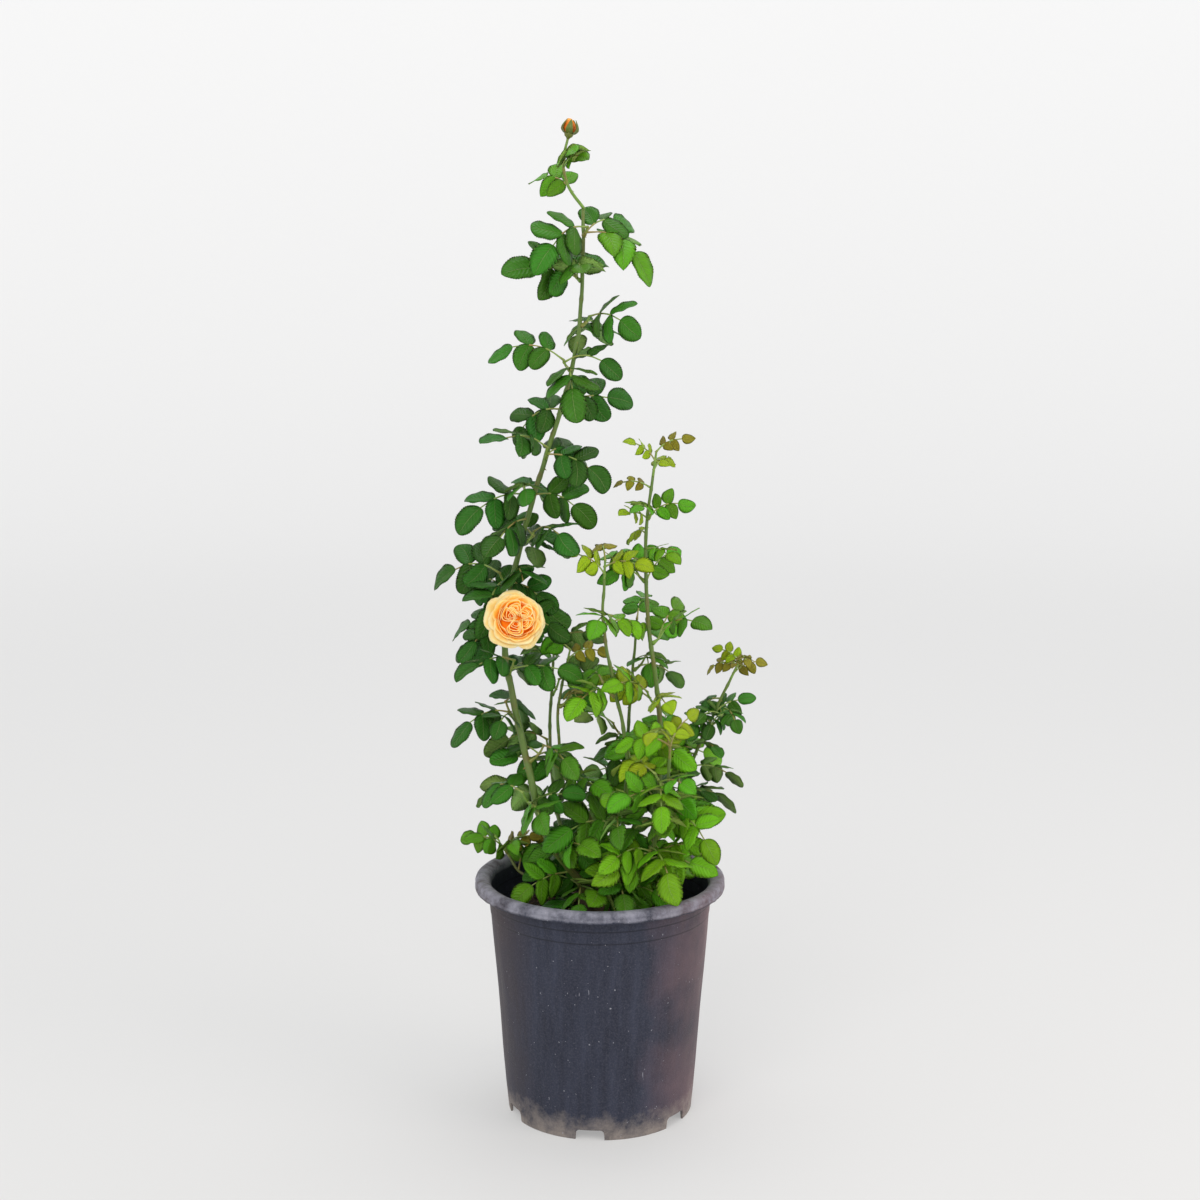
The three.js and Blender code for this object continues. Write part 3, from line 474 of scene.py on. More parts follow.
# Each cane: the bearing of its foot, its radius at foot and tip, the bends it passes through, its side
# shoots (how many, between which heights, bearing of the first, length and leaves of the lowest and
# the highest), the shoot at its tip, how steeply its leaves start, and their size low and high.
CANES = [
    dict(name="cane_tall", bearing=222, radius=(4.8, 1.9),
         bends=[(-63, -42, 350), (-88, -27, 445), (-105, -10, 520), (-113, 2, 570), (-107, 12, 630),
                (-88, 15, 712), (-62, 10, 798), (-40, 2, 868), (-25, -5, 935), (-20, -5, 1010),
                (-19, -5, 1078)],
         shoots=dict(count=14, low=385, high=1048, bearing=215, length=(26, 12), leaves=(2, 2)),
         tip=dict(bearing=150, length=86, leaves=3, size=0.72, lean=(185, 42, 72)),
         slope=24, size=(0.92, 1.02)),
    dict(name="cane_right", bearing=8, radius=(4.0, 1.7),
         bends=[(58, 10, 310), (73, 12, 430), (68, 10, 515), (57, 8, 600), (54, 5, 700), (62, 5, 772)],
         shoots=dict(count=6, low=345, high=722, bearing=300, length=(34, 12), leaves=(3, 2)),
         tip=dict(bearing=60, length=28, leaves=3), slope=40, size=(1, 0.62)),
    dict(name="cane_middle", bearing=300, radius=(2.9, 1.6),
         bends=[(24, -18, 330), (32, -24, 440), (14, -26, 540), (4, -27, 600), (5, -28, 655)],
         shoots=dict(count=4, low=345, high=600, bearing=250, length=(32, 16), leaves=(3, 2)),
         tip=dict(bearing=200, length=22, leaves=3), slope=30, size=(1, 0.8)),
    dict(name="cane_left", bearing=118, radius=(2.7, 1.5),
         bends=[(-12, 26, 350), (-44, 18, 415), (-50, 10, 490), (-40, 6, 545)],
         shoots=dict(count=2, low=400, high=495, bearing=190, length=(24, 16), leaves=(2, 2)),
         tip=dict(bearing=20, length=20, leaves=2), slope=30, size=(0.95, 0.75)),
    dict(name="cane_side", bearing=44, radius=(3.0, 1.6),
         bends=[(74, 34, 330), (112, 42, 420), (130, 40, 462), (158, 36, 524)],
         shoots=dict(count=3, low=365, high=464, bearing=60, length=(28, 30), leaves=(3, 2)),
         tip=dict(bearing=0, length=26, leaves=3), slope=30, size=(0.9, 0.6)),
    dict(name="cane_front", bearing=340, radius=(2.7, 1.6),
         bends=[(58, -52, 330), (76, -78, 400), (80, -86, 455)],
         shoots=dict(count=3, low=322, high=420, bearing=280, length=(30, 22), leaves=(3, 2)),
         tip=dict(bearing=100, length=24, leaves=2), slope=28, size=(1, 0.9)),
    dict(name="cane_back_left", bearing=155, radius=(3.0, 1.6),
         bends=[(-50, 52, 340), (-62, 88, 430), (-58, 104, 530)],
         shoots=dict(count=3, low=350, high=490, bearing=120, length=(30, 22), leaves=(2, 2)),
         tip=dict(bearing=240, length=24, leaves=2), slope=28, size=(1, 0.85)),
    dict(name="cane_back_right", bearing=82, radius=(3.0, 1.6),
         bends=[(18, 66, 340), (34, 98, 440), (44, 108, 560)],
         shoots=dict(count=3, low=350, high=520, bearing=60, length=(30, 22), leaves=(2, 2)),
         tip=dict(bearing=300, length=24, leaves=2), slope=28, size=(1, 0.85)),
    dict(name="cane_low", bearing=186, radius=(2.3, 1.5),
         bends=[(-66, 2, 282), (-96, 12, 288), (-110, 20, 306)],
         shoots=dict(count=0),
         tip=dict(bearing=230, length=16, leaves=3), slope=30, size=(0.8, 0.8)),
]


def compass(degrees):
    """The level unit vector at a bearing from +X."""
    return np.array([np.cos(np.radians(degrees)), np.sin(np.radians(degrees)), 0.0])


def unit(vector):
    """A vector at length one."""
    return vector / np.linalg.norm(vector, axis=-1, keepdims=True)


def cane_foot(cane):
    """Where a cane leaves the union: the point on its crown at the foot lift, and the square out of it."""
    lift = np.radians(FOOT_LIFT)
    out = compass(cane["bearing"])
    foot = out * UNION_WIDTH / 2 * np.cos(lift)
    foot[2] = UNION_MIDDLE + UNION_CROWN * np.sin(lift)
    square = out * np.cos(lift) / (UNION_WIDTH / 2)
    square[2] = np.sin(lift) / UNION_CROWN
    square = unit(square)
    return foot + 0.6 * square, square


def union_rings(around=96, rows=34):
    """An ellipsoid's crown over a short flare, pushed out along its normal by cork and cane collars."""
    turn = np.linspace(0, 2 * np.pi, around, endpoint=False)
    lift = np.linspace(-0.42, 1, rows)[:, None] * np.pi / 2
    radius = UNION_WIDTH / 2 * np.cos(lift)
    height = UNION_MIDDLE + UNION_CROWN * np.sin(lift)
    radius = np.maximum(radius, 0.15)
    x, y = radius * np.cos(turn), radius * np.sin(turn)
    z = np.maximum(np.repeat(height, around, axis=1), SOIL_TOP - 2)
    skin = np.stack([x, y, z], axis=-1)
    normal = unit(np.stack([x / UNION_WIDTH, y / UNION_WIDTH,
                            (z - UNION_MIDDLE) / UNION_CROWN / 2], axis=-1))
    cork = 0.9 * ripple(skin, 16, 41) + 0.5 * ripple(skin, 6, 42)
    for cane in CANES:
        away = np.linalg.norm(skin - cane_foot(cane)[0], axis=-1)
        cork = cork + 2.4 * np.exp(-(away / (2.1 * cane["radius"][0])) ** 2)
    return skin + normal * cork[..., None]


# Old rose wood: grey-brown cork, split in shallow furrows.
old_wood = grainy("corky_old_wood", ("#2e241b", "#85715a"), 5.26, 6, 0.65, (0.9, 0.0016), 0.9)

knuckle = add_piece("bud_union_wood", *ring_surface(union_rings()), [old_wood])
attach(knuckle, "root")
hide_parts("bud_union")


# ---------------------------------------------------------------- canes
# Nine rose canes, each one tapering limb from the union to its tip shoot: smooth green bark with a
# swollen node where each leaf stood, woody and brown at the foot, and armed with hooked prickles.

CANE_STEP = 34                        # length of a straight stretch of the solid cane
CANE_SIDES = 7
CANE_GRAIN = 5                        # length of a stretch of the finished cane
BARK_SIDES = 14
NODE_SPACING = 27
NODE_SWELLING = 0.5
NODE_SPAN = 2.6                       # how far a node's swelling reaches
NODE_KINK = 0.55                      # how far the cane sways aside between two nodes
FOOT_FLARE = 2.2                      # how much thicker a cane is where it leaves the union
FOOT_FLARE_SPAN = 7
PRICKLE_SPACING = 21
PRICKLE_LENGTH = 4.6
PRICKLE_HOOK = 0.58                   # how far its point hangs below its foot, as a share of its length
PRICKLE_OVAL = (0.42, 0.2)            # half length and half width of its foot, as shares of its length


def catmull(knots, shares):
    """Points of a uniform Catmull-Rom curve through knots, at shares 0 to 1; its ends are mirrored."""
    knots = np.asarray(knots, dtype=float)
    padded = np.concatenate([[2 * knots[0] - knots[1]], knots, [2 * knots[-1] - knots[-2]]])
    along = np.asarray(shares) * (len(knots) - 1)
    i = np.minimum(np.floor(along).astype(int), len(knots) - 2)
    t = (along - i)[:, None]
    before, start, end, after = (padded[i + k] for k in range(4))
    leave, arrive = (end - before) / 2, (after - start) / 2
    return (start + leave * t + (3 * (end - start) - 2 * leave - arrive) * t ** 2
            + (2 * (start - end) + leave + arrive) * t ** 3)


def headings(points):
    """Unit directions along a path, by central differences."""
    after = np.concatenate([points[1:], points[-1:]])
    before = np.concatenate([points[:1], points[:-1]])
    return unit(after - before)


def rings_along(points, radii, sides):
    """Rings of corners square to a path, turned from the axis that the path runs along least."""
    reference = np.zeros(3)
    reference[np.argmin(np.abs(points[-1] - points[0]))] = 1
    heading = headings(points)
    across = unit(reference - heading * (heading @ reference)[:, None])
    along = np.cross(heading, across)
    turn = 2 * np.pi * np.arange(sides) / sides
    radii = np.asarray(radii)[:, None, None]
    return (points[:, None] + radii * across[:, None] * np.cos(turn)[:, None]
            + radii * along[:, None] * np.sin(turn)[:, None])


def mix(pair, share):
    """The value a share of the way from the first to the second."""
    return pair[0] + (pair[1] - pair[0]) * share


def lay_cane(cane):
    """Works out a cane's curve, and its solid's straight stretches, which its shoots are placed on."""
    foot, square = cane_foot(cane)
    knots = [foot + 14 * square, *cane["bends"]]
    length = np.linalg.norm(np.diff(catmull(knots, np.linspace(0, 1, 201)), axis=0), axis=1).sum()
    steps = int(np.floor(length / CANE_STEP + 0.5))
    cane["knots"] = knots
    cane["length"] = length
    cane["points"] = np.concatenate([[foot], catmull(knots, np.linspace(0, 1, steps + 1))])
    cane["radii"] = mix(cane["radius"], np.arange(steps + 2) / (steps + 1))


def place_on(cane, height):
    """The place on a solid cane at a height: its middle, its radius and its heading there."""
    points = cane["points"]
    i = int(np.argmax(points[1:, 2] >= height)) + 1
    share = (height - points[i - 1, 2]) / (points[i, 2] - points[i - 1, 2])
    middle = points[i - 1] + (points[i] - points[i - 1]) * share
    return middle, cane["radii"][i - 1], unit(points[i] - points[i - 1])


def finished_cane(cane):
    """The cane's path and radii in short stretches: rooted in the union with a flare, and swollen and
    kinked a little from side to side at each node."""
    foot, square = cane_foot(cane)
    count = int(cane["length"] / CANE_GRAIN)
    curve = catmull(cane["knots"], np.linspace(0, 1, count + 1))
    path = np.concatenate([[foot - 7 * square, foot, foot + 5 * square, foot + 10 * square], curve])
    travelled = np.concatenate([[0], np.cumsum(np.linalg.norm(np.diff(path, axis=0), axis=1))])
    share = travelled / travelled[-1]
    radii = mix(cane["radius"], share)
    to_node = (travelled / NODE_SPACING + 0.5) % 1 - 0.5
    swelling = NODE_SWELLING * np.exp(-(to_node * NODE_SPACING / NODE_SPAN) ** 2)
    flare = FOOT_FLARE * np.exp(-travelled / FOOT_FLARE_SPAN)
    kink = NODE_KINK * np.sin(np.pi * travelled / NODE_SPACING) * np.clip(travelled / 60, 0, 1)
    kink = kink * np.clip((travelled[-1] - travelled) / 20, 0, 1)
    sway = compass(cane["bearing"] + 90)
    return path + kink[:, None] * sway, radii + swelling + flare


# Young rose bark: waxy green skin, streaked lengthwise, flushed red-brown here and there, and browner
# in the lowest hand's width where it has turned to wood.
cane_bark, tree, place, shader = new_material("waxy_cane_bark")
height = add_node(tree, "ShaderNodeSeparateXYZ", {"Vector": place}).outputs["Z"]
drawn_out = add_node(tree, "ShaderNodeMapping", {"Vector": place, "Scale": (1, 1, 0.12)})
streaks = add_node(tree, "ShaderNodeTexNoise", {"Vector": drawn_out.outputs["Vector"],
                                                "Scale": per_metre(2.38), "Detail": 4, "Roughness": 0.6})
green = add_node(tree, "ShaderNodeMix", {0: streaks.outputs["Fac"], 6: linear("#456420"),
                                         7: linear("#6f8a38")}, data_type="RGBA")
flush = add_node(tree, "ShaderNodeTexNoise", {"Vector": place, "Scale": per_metre(38.5), "Detail": 3})
flush_mask = add_node(tree, "ShaderNodeMapRange", {"Value": flush.outputs["Fac"], "From Min": 0.54,
                                                   "From Max": 0.7, "To Max": 0.6})
skin = add_node(tree, "ShaderNodeMix", {0: flush_mask.outputs[0], 6: green.outputs[2],
                                        7: linear("#7a5230")}, data_type="RGBA")
age = add_node(tree, "ShaderNodeMapRange", {"Value": height, "From Min": 0.36, "From Max": 0.27,
                                            "To Max": 0.6})
skin = add_node(tree, "ShaderNodeMix", {0: age.outputs[0], 6: skin.outputs[2], 7: linear("#6b5a36")},
                data_type="RGBA")
bump = add_node(tree, "ShaderNodeBump", {"Height": streaks.outputs["Fac"], "Strength": 0.35,
                                         "Distance": 0.0006})
tree.links.new(skin.outputs[2], shader.inputs["Base Color"])
tree.links.new(bump.outputs["Normal"], shader.inputs["Normal"])
shader.inputs["Roughness"].default_value = 0.5
shader.inputs["Coat Weight"].default_value = 0.15
shader.inputs["Coat Roughness"].default_value = 0.4

for cane in CANES:
    lay_cane(cane)
    cane["path"], cane["path_radii"] = finished_cane(cane)
    bark = ring_surface(rings_along(cane["path"], cane["path_radii"], BARK_SIDES))
    piece = add_piece(cane["name"] + "_bark", *bark, [cane_bark])
    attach(piece, "root")
    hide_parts(cane["name"])


def joined(parts):
    """Several (vertices, faces) as one pair."""
    vertices, faces, count = [], [], 0
    for part_vertices, part_faces in parts:
        vertices.append(part_vertices)
        faces += [[k + count for k in face] for face in part_faces]
        count += len(part_vertices)
    return np.concatenate(vertices), faces


def prickle(root, out, down, length):
    """A hooked thorn: an oval foot, long down the cane, that narrows to a point bent towards the foot."""
    share = np.array([0, 0.12, 0.35, 0.65, 0.88])[:, None, None]
    turn = 2 * np.pi * np.arange(7)[:, None] / 7
    wide = np.cross(out, down)
    oval = down * np.cos(turn) * PRICKLE_OVAL[0] * length + wide * np.sin(turn) * PRICKLE_OVAL[1] * length
    middle = out * share * length + down * length * (0.1 + 0.42 * share ** 2)
    sunk = root - 0.8 * out
    vertices, faces = ring_surface(sunk + middle + oval * (1 - share) ** 1.25)
    vertices[-1] = sunk + out * length + down * PRICKLE_HOOK * length
    return vertices, faces


def grow_prickles():
    """Thorns along every cane at seeded spacings and bearings, smaller towards its tip."""
    rng = np.random.default_rng(51)
    thorns = []
    for cane in CANES:
        path, radii = cane["path"], cane["path_radii"]
        heading = headings(path)
        for at in np.arange(6, len(path) - 4, PRICKLE_SPACING / CANE_GRAIN):
            i = int(at + rng.uniform(-1.5, 1.5))
            out = compass(rng.uniform(0, 360))
            out = unit(out - heading[i] * (out @ heading[i]))
            length = PRICKLE_LENGTH * rng.uniform(0.7, 1.15) * (1 - 0.4 * i / len(path))
            thorns.append(prickle(path[i] + out * radii[i] * 0.92, out, -heading[i], length))
    return joined(thorns)


# Prickles are hard, smooth and glossy, and redder than the cane.
prickle_horn = grainy("horny_prickles", ("#8a5a34", "#9aa04e"), 16.7, 2, 0.5, None, 0.35)

prickles = add_piece("cane_prickles", *grow_prickles(), [prickle_horn])
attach(prickles, "root")


# ---------------------------------------------------------------- the leafing rule
# How a rose cane leafs: side shoots at a turn of 144 degrees, compound leaves along each shoot, and
# pairs of leaflets along each leaf's stalk. What would touch a limb or leaf is turned or skipped.
# The solids grow by this rule. Here it goes on to finer twigs and to leaves straight from the cane.

GAP = 0.3
TURN = 144
TWIG_RADIUS = 1.6
STALK_RADIUS = 1.25
STALK_LENGTH = 58
LEAFLET_LENGTH = 41
LEAFLET_WIDTH = 30
LEAFLET_THICKNESS = 1.5
STEM_STEPS = 3
STALK_STEPS = 3
LEAF_ROLL = -56                       # degrees a sideways leaf turns its face out of the crown
LEAF_ARCH = 46                        # degrees that a stalk bends down along its length, more or less
LEAFLET_SAG = 0.42                    # how far down a leaflet may hang from its stalk's plane
BACK_HALF = 40                        # leaves behind this turn their faces to the back
SHOOT_REACH = 115
BLOOM_RADIUS = 36
BLOOM_CENTRE = np.array([-98.0, -56.0, 610.0])
BLOOM_FACING = np.array([0.06, -0.92, 0.38]) / np.linalg.norm([0.06, -0.92, 0.38])
NECK_RADIUS = 2.2
BUD_RADIUS = 9.5
BUD_LENGTH = 25
UP = np.array([0.0, 0.0, 1.0])

# Dip of a leaflet's tip and roll of its blade, tried in turn until it is clear, so that pairs shingle.
LEAFLET_TURNS = [(0, 14), (12, 28), (-12, 4), (24, 36), (-20, 34), (36, -18), (30, 54)]
STEM_SWINGS = (0, 20, -20, 40, -40, 70, -70, 100, -100, 140, 180)
LEAF_SWINGS = (0, 24, -24, 48, -48)

# Owners in the list of taken room: canes count down from -1, then the bloom and the bud.
BLOOM_OWNER = -50
BUD_OWNER = -60
LEAVES_PER_SHOOT = 100                # a leaf's owner is its shoot's number times this, plus its own
MOST_CORNERS = 54
MOST_SETS = 9000
MOST_STEPS = 200                      # of the search for two sets' nearest points, and of a foot's slide

Convex = namedtuple("Convex", "points fat owner centre bound")

taken = dict(points=np.zeros((MOST_SETS, MOST_CORNERS, 3)), centre=np.zeros((MOST_SETS, 3)),
             bound=np.zeros(MOST_SETS), fat=np.zeros(MOST_SETS),
             owner=np.zeros(MOST_SETS, dtype=int), count=0)


def convex(points, fat, owner):
    """A convex set: its points, the radius round them, its owner, its centre and its bounding radius."""
    points = np.asarray(points)
    centre = points.mean(0)
    return Convex(points, fat, owner, centre, fat + np.linalg.norm(points - centre, axis=1).max())


def take(sets):
    """Puts convex sets on the list of taken room."""
    for points, fat, owner, centre, bound in sets:
        i = taken["count"]
        taken["points"][i] = points[0]
        taken["points"][i, :len(points)] = points
        taken["centre"][i], taken["bound"][i] = centre, bound
        taken["fat"][i], taken["owner"][i] = fat, owner
        taken["count"] = i + 1


def all_apart(one, points, centre, fat, room):
    """True where every convex set keeps `room` from one. The vector between two sets is drawn to the
    nearest point of their difference, and each step gives a lower and an upper bound."""
    v = one.centre - centre
    need = room + one.fat + fat
    for _ in range(MOST_STEPS):
        size = np.sqrt((v * v).sum(1))
        if (size < need).any():
            return False
        near = one.points[np.argmin(v @ one.points.T, axis=1)]
        reach = np.einsum("npk,nk->np", points, v)
        w = near - points[np.arange(len(points)), reach.argmax(1)]
        going = (v * w).sum(1) / size < need
        if not going.any():
            return True
        v, w, need, points = v[going], w[going], need[going], points[going]
        pull = w - v
        square = (pull * pull).sum(1)
        share = np.where(square < 1e-12, 0, -(v * pull).sum(1) / np.maximum(square, 1e-12))
        v = v + pull * np.clip(share, 0, 1)[:, None]
    return False


def apart_from(one, others, room):
    """True where a set keeps `room` from each of a few others."""
    near = [other for other in others
            if np.linalg.norm(one.centre - other.centre) - one.bound - other.bound <= room]
    return all(all_apart(one, other.points[None], other.centre[None], np.array([other.fat]), room)
               for other in near)


def clear_of_pot(points):
    """True above the lip, or well inside the wall and above the compost."""
    if points[:, 2].min() >= POT_HEIGHT + 3:
        return True
    inside = np.hypot(points[:, 0], points[:, 1]) < wall_radius(points[:, 2]) - POT_WALL - 3
    return bool((inside & (points[:, 2] > SOIL_TOP + 3)).all())


def is_free(sets, room, ignored=None):
    """True where sets keep `room` from all that is taken, bar their own owner's and the ignored owners'."""
    n = taken["count"]
    owners = taken["owner"][:n]
    for one in sets:
        if not clear_of_pot(one.points):
            return False
        away = np.linalg.norm(taken["centre"][:n] - one.centre, axis=1) - taken["bound"][:n] - one.bound
        close = (away <= room) & (owners != one.owner)
        if ignored is not None:
            close &= ~ignored(owners)
        k = np.flatnonzero(close)
        if len(k) and not all_apart(one, taken["points"][k], taken["centre"][k], taken["fat"][k], room):
            return False
    return True


def limb_sets(points, radii, sides, owner):
    """The straight stretches of a limb, each the convex set of its two end rings."""
    rings = rings_along(points, radii, sides)
    return [convex(np.concatenate([rings[i], rings[i + 1]]), 0, owner) for i in range(len(points) - 1)]


def seat(owner, start, out, grow):
    """Slides a twig's foot out of its cane in steps of a sixth of the gap, until the gap is right."""
    k = np.flatnonzero(taken["owner"][:taken["count"]] == owner)
    own = taken["points"][k], taken["centre"][k], taken["fat"][k]
    low, high = 0, MOST_STEPS
    while low < high:
        middle = (low + high) // 2
        if all_apart(grow(start + out * middle * GAP / 6)["sets"][0], *own, GAP):
            high = middle
        else:
            low = middle + 1
    return grow(start + out * low * GAP / 6)


def draw(shoot, leaf, channel):
    """A number from 0 to 1 that depends only on its three keys: a 32-bit hash of them."""
    full = 0xFFFFFFFF
    h = ((shoot + 1) * 73856093 ^ (leaf + 1) * 19349663 ^ (channel + 1) * 83492791) & full
    h = ((h ^ (h >> 15)) * 2246822519) & full
    h = ((h ^ (h >> 13)) * 3266489917) & full
    return (h ^ (h >> 16)) / 4294967296


def spread(shoot, leaf, channel, reach):
    """A number from minus to plus the reach that depends only on its keys."""
    return (2 * draw(shoot, leaf, channel) - 1) * reach


def arc(start, bearing, slope, bend, length, steps):
    """A path in the upright plane through a bearing, which starts at a slope and bends evenly."""
    angle = np.radians(slope + bend * (np.arange(steps) + 0.5) / steps)
    step = np.outer(np.cos(angle), compass(bearing)) + np.outer(np.sin(angle), UP)
    return np.concatenate([[start], start + np.cumsum(step * length / steps, axis=0)])


def turned_about(vector, axis, angle):
    """A vector turned about a unit axis, by Rodrigues' formula."""
    return (vector * np.cos(angle) + np.cross(axis, vector) * np.sin(angle)
            + axis * (axis @ vector) * (1 - np.cos(angle)))


def grow_leaflet(foot, heading, face, ahead, size, space, owner, own):
    """The first turn of a leaflet that is clear: its frame and its convex set, or None."""
    across = unit(np.cross(face, heading))
    hand = np.sign(across @ ahead) or 1
    for dip, roll in LEAFLET_TURNS:
        aimed = turned_about(heading, across, np.radians(dip))
        turned = turned_about(face, aimed, np.radians(hand * roll))
        side = unit(np.cross(turned, aimed))
        if side @ ahead < 0:
            side = -side
        normal = unit(turned - aimed * (turned @ aimed))
        length, width = size * LEAFLET_LENGTH, size * LEAFLET_WIDTH
        wide = foot + aimed * 0.45 * length
        corners = np.array([foot, foot + aimed * length, wide - side * width / 2, wide + side * width / 2,
                            wide + normal * LEAFLET_THICKNESS / 2, wide - normal * LEAFLET_THICKNESS / 2])
        inside = np.linalg.norm(corners - space[0], axis=1).max() < space[1]
        blade = convex(corners, 0, owner)
        if inside and apart_from(blade, own, 2 * GAP) and is_free([blade], 2 * GAP):
            return dict(foot=foot, heading=aimed, normal=normal, length=length, width=width), blade
    return None


def grow_leaf(shoot, leaf, start, bearing, slope, scale, space, touches):
    """A compound leaf: an arching stalk with pairs of leaflets and one at its end, or None without room."""
    owner = shoot * LEAVES_PER_SHOOT + leaf
    for swing in LEAF_SWINGS:
        aim = bearing + swing
        length = STALK_LENGTH * scale * (0.88 + 0.24 * draw(shoot, leaf, 1))
        bend = -LEAF_ARCH * (0.7 + 0.9 * draw(shoot, leaf, 2))
        points = arc(start, aim, slope, bend, length, STALK_STEPS)
        radii = mix((STALK_RADIUS, 0.8 * STALK_RADIUS), np.arange(STALK_STEPS + 1) / STALK_STEPS)
        stalk = limb_sets(points, radii, 3, owner)
        if np.linalg.norm(points - space[0], axis=1).max() >= space[1]:
            continue
        if not is_free(stalk[1:], 2 * GAP) or not is_free(stalk[:1], 2 * GAP, touches):
            continue
        directions = headings(points)
        level = np.cross(UP, compass(aim))
        outward = 1 if start[1] > BACK_HALF else -1
        roll = np.radians(spread(shoot, leaf, 4, 22) + LEAF_ROLL * level[1] * outward)
        sides = [turned_about(level, ahead, roll) for ahead in directions]
        size = scale * (0.9 + 0.2 * draw(shoot, leaf, 3))
        blades, own = [], []
        for at in range(STALK_STEPS, 0, -1):
            ahead, side = directions[at], sides[at]
            face = np.cross(ahead, side)
            grown = size * (0.79 + 0.07 * at)
            pair = []
            for hand in ([0] if at == STALK_STEPS else [1, -1]):
                sag = -LEAFLET_SAG * draw(shoot, leaf, 10 + 3 * at + hand)
                heading = unit(ahead * (0.42 if hand else 1) + side * 0.9 * hand + UP * sag)
                got = grow_leaflet(points[at], heading, face + side * 0.3 * hand, ahead if hand else side,
                                   grown, space, owner, own)
                if got:
                    blades.append(got[0])
                    pair.append(got[1])
            own += pair
        if len(own) >= 3:
            take(stalk + own)
            return dict(points=points, radii=radii, blades=blades, shoot=shoot, leaf=leaf)
    return None


stems, leaves = [], []


def grow_shoot(node, cane, shoot, plan):
    """A leafy shoot: its stem, seated on its cane, its compound leaves, and the bud that a tip may bear."""
    owner = shoot * LEAVES_PER_SHOOT + LEAVES_PER_SHOOT - 1
    radii = mix((plan["radius"], 0.75 * plan["radius"]), np.arange(STEM_STEPS + 1) / STEM_STEPS)
    for start, out, bearing, slope, bend in plan["stems"]:
        def grow(foot):
            points = arc(foot, bearing, slope, bend, plan["length"], STEM_STEPS)
            return dict(points=points, sets=limb_sets(points, radii, 3, owner))
        stem = seat(cane["owner"], start, out, grow)
        if is_free(stem["sets"], 0.9 * GAP):
            break
    take(stem["sets"])
    points = stem["points"]
    stems.append(dict(points=points, radii=radii, root=start, tip=plan["offset"] == 0))
    if plan.get("bud"):
        facing = unit(points[-1] - points[-2])
        take([convex(points[-1] + np.outer([0, 12, BUD_LENGTH], facing), BUD_RADIUS, BUD_OWNER)])
    space = points[-1] + compass(bearing) * plan["offset"], SHOOT_REACH
    for leaf in range(plan["leaves"]):
        along = STEM_STEPS * (leaf + 0.7) / (plan["leaves"] - 0.3)
        i = min(int(along), STEM_STEPS - 1)
        grown = grow_leaf(shoot, leaf, points[i] + (points[i + 1] - points[i]) * (along - i),
                          bearing + plan["turn"](leaf) + spread(shoot, leaf, 6, 14),
                          plan["leaf_slope"] + spread(shoot, leaf, 7, 20), plan["scale"], space,
                          lambda owners: owners // LEAVES_PER_SHOOT == shoot)
        if grown:
            leaves.append(dict(grown, node=node, cane=cane))
    return dict(plan, points=points, bearing=bearing, space=space, node=node, cane=cane, shoot=shoot)


def tip_plan(cane):
    """A cane ends in a shoot that goes on from its tip, straight on or with a lean of its own."""
    heading = headings(cane["points"])[-1]
    bearing = np.degrees(np.arctan2(heading[1], heading[0]))
    slope = np.degrees(np.arctan2(heading[2], np.hypot(heading[0], heading[1])))
    tip = cane["tip"]
    bearing, slope, bend = tip.get("lean", (bearing, slope, 0))
    return dict(stems=[(cane["points"][-1], heading, bearing, slope, bend)], length=tip["length"],
                radius=cane["radius"][1], leaves=tip["leaves"],
                turn=lambda leaf: tip["bearing"] + TURN * leaf - bearing,
                leaf_slope=cane["slope"] + 14, scale=tip.get("size", 0.9 * cane["size"][1]),
                offset=0, bud=cane is CANES[0])


def side_plan(cane, i, shoot):
    """A side shoot leaves the cane at its bearing, or as near to it as there is room."""
    plan = cane["shoots"]
    share = i / (plan["count"] - 1)
    middle, radius, heading = place_on(cane, mix((plan["low"], plan["high"]), share))
    aim = plan["bearing"] + TURN * i + spread(shoot, 0, 8, 10)
    options = []
    for swing in STEM_SWINGS:
        out = compass(aim + swing)
        out = unit(out - heading * (out @ heading))
        options.append((middle + out * 0.7 * radius, out, aim + swing, 38, 30))
    return dict(stems=options, length=mix(plan["length"], share), radius=TWIG_RADIUS,
                leaves=int(np.floor(mix(plan["leaves"], share) + 0.5)), turn=lambda leaf: (62, -62, 8)[leaf],
                leaf_slope=cane["slope"], scale=mix(cane["size"], share), offset=30)


for number, cane in enumerate(CANES):
    cane["owner"] = -1 - number
    take(limb_sets(cane["points"], cane["radii"], CANE_SIDES, cane["owner"]))

# The bloom's own room and its neck, as far as the leaves have to keep clear of them.
BLOOM_OUTLINE = BLOOM_RADIUS * np.array([(0, -0.66), (0.2, -0.62), (0.55, -0.42), (0.9, -0.1), (1, 0.16),
                                         (0.86, 0.36), (0.6, 0.44), (0.3, 0.4), (0, 0.28)])
bloom_side = unit(np.cross([1.0, 0.0, 0.0], BLOOM_FACING))
bloom_sides = [turned_about(bloom_side, BLOOM_FACING, k * np.pi / 3) for k in range(6)]
bloom_corners = [BLOOM_CENTRE + BLOOM_FACING * along + side * 1.1 * radius
                 for radius, along in BLOOM_OUTLINE for side in bloom_sides]
neck_root = place_on(CANES[0], BLOOM_CENTRE[2] - 40)[0]
bloom_back = BLOOM_CENTRE - 0.6 * BLOOM_RADIUS * BLOOM_FACING
neck_out = unit((bloom_back - neck_root) * np.array([1, 1, 0]))


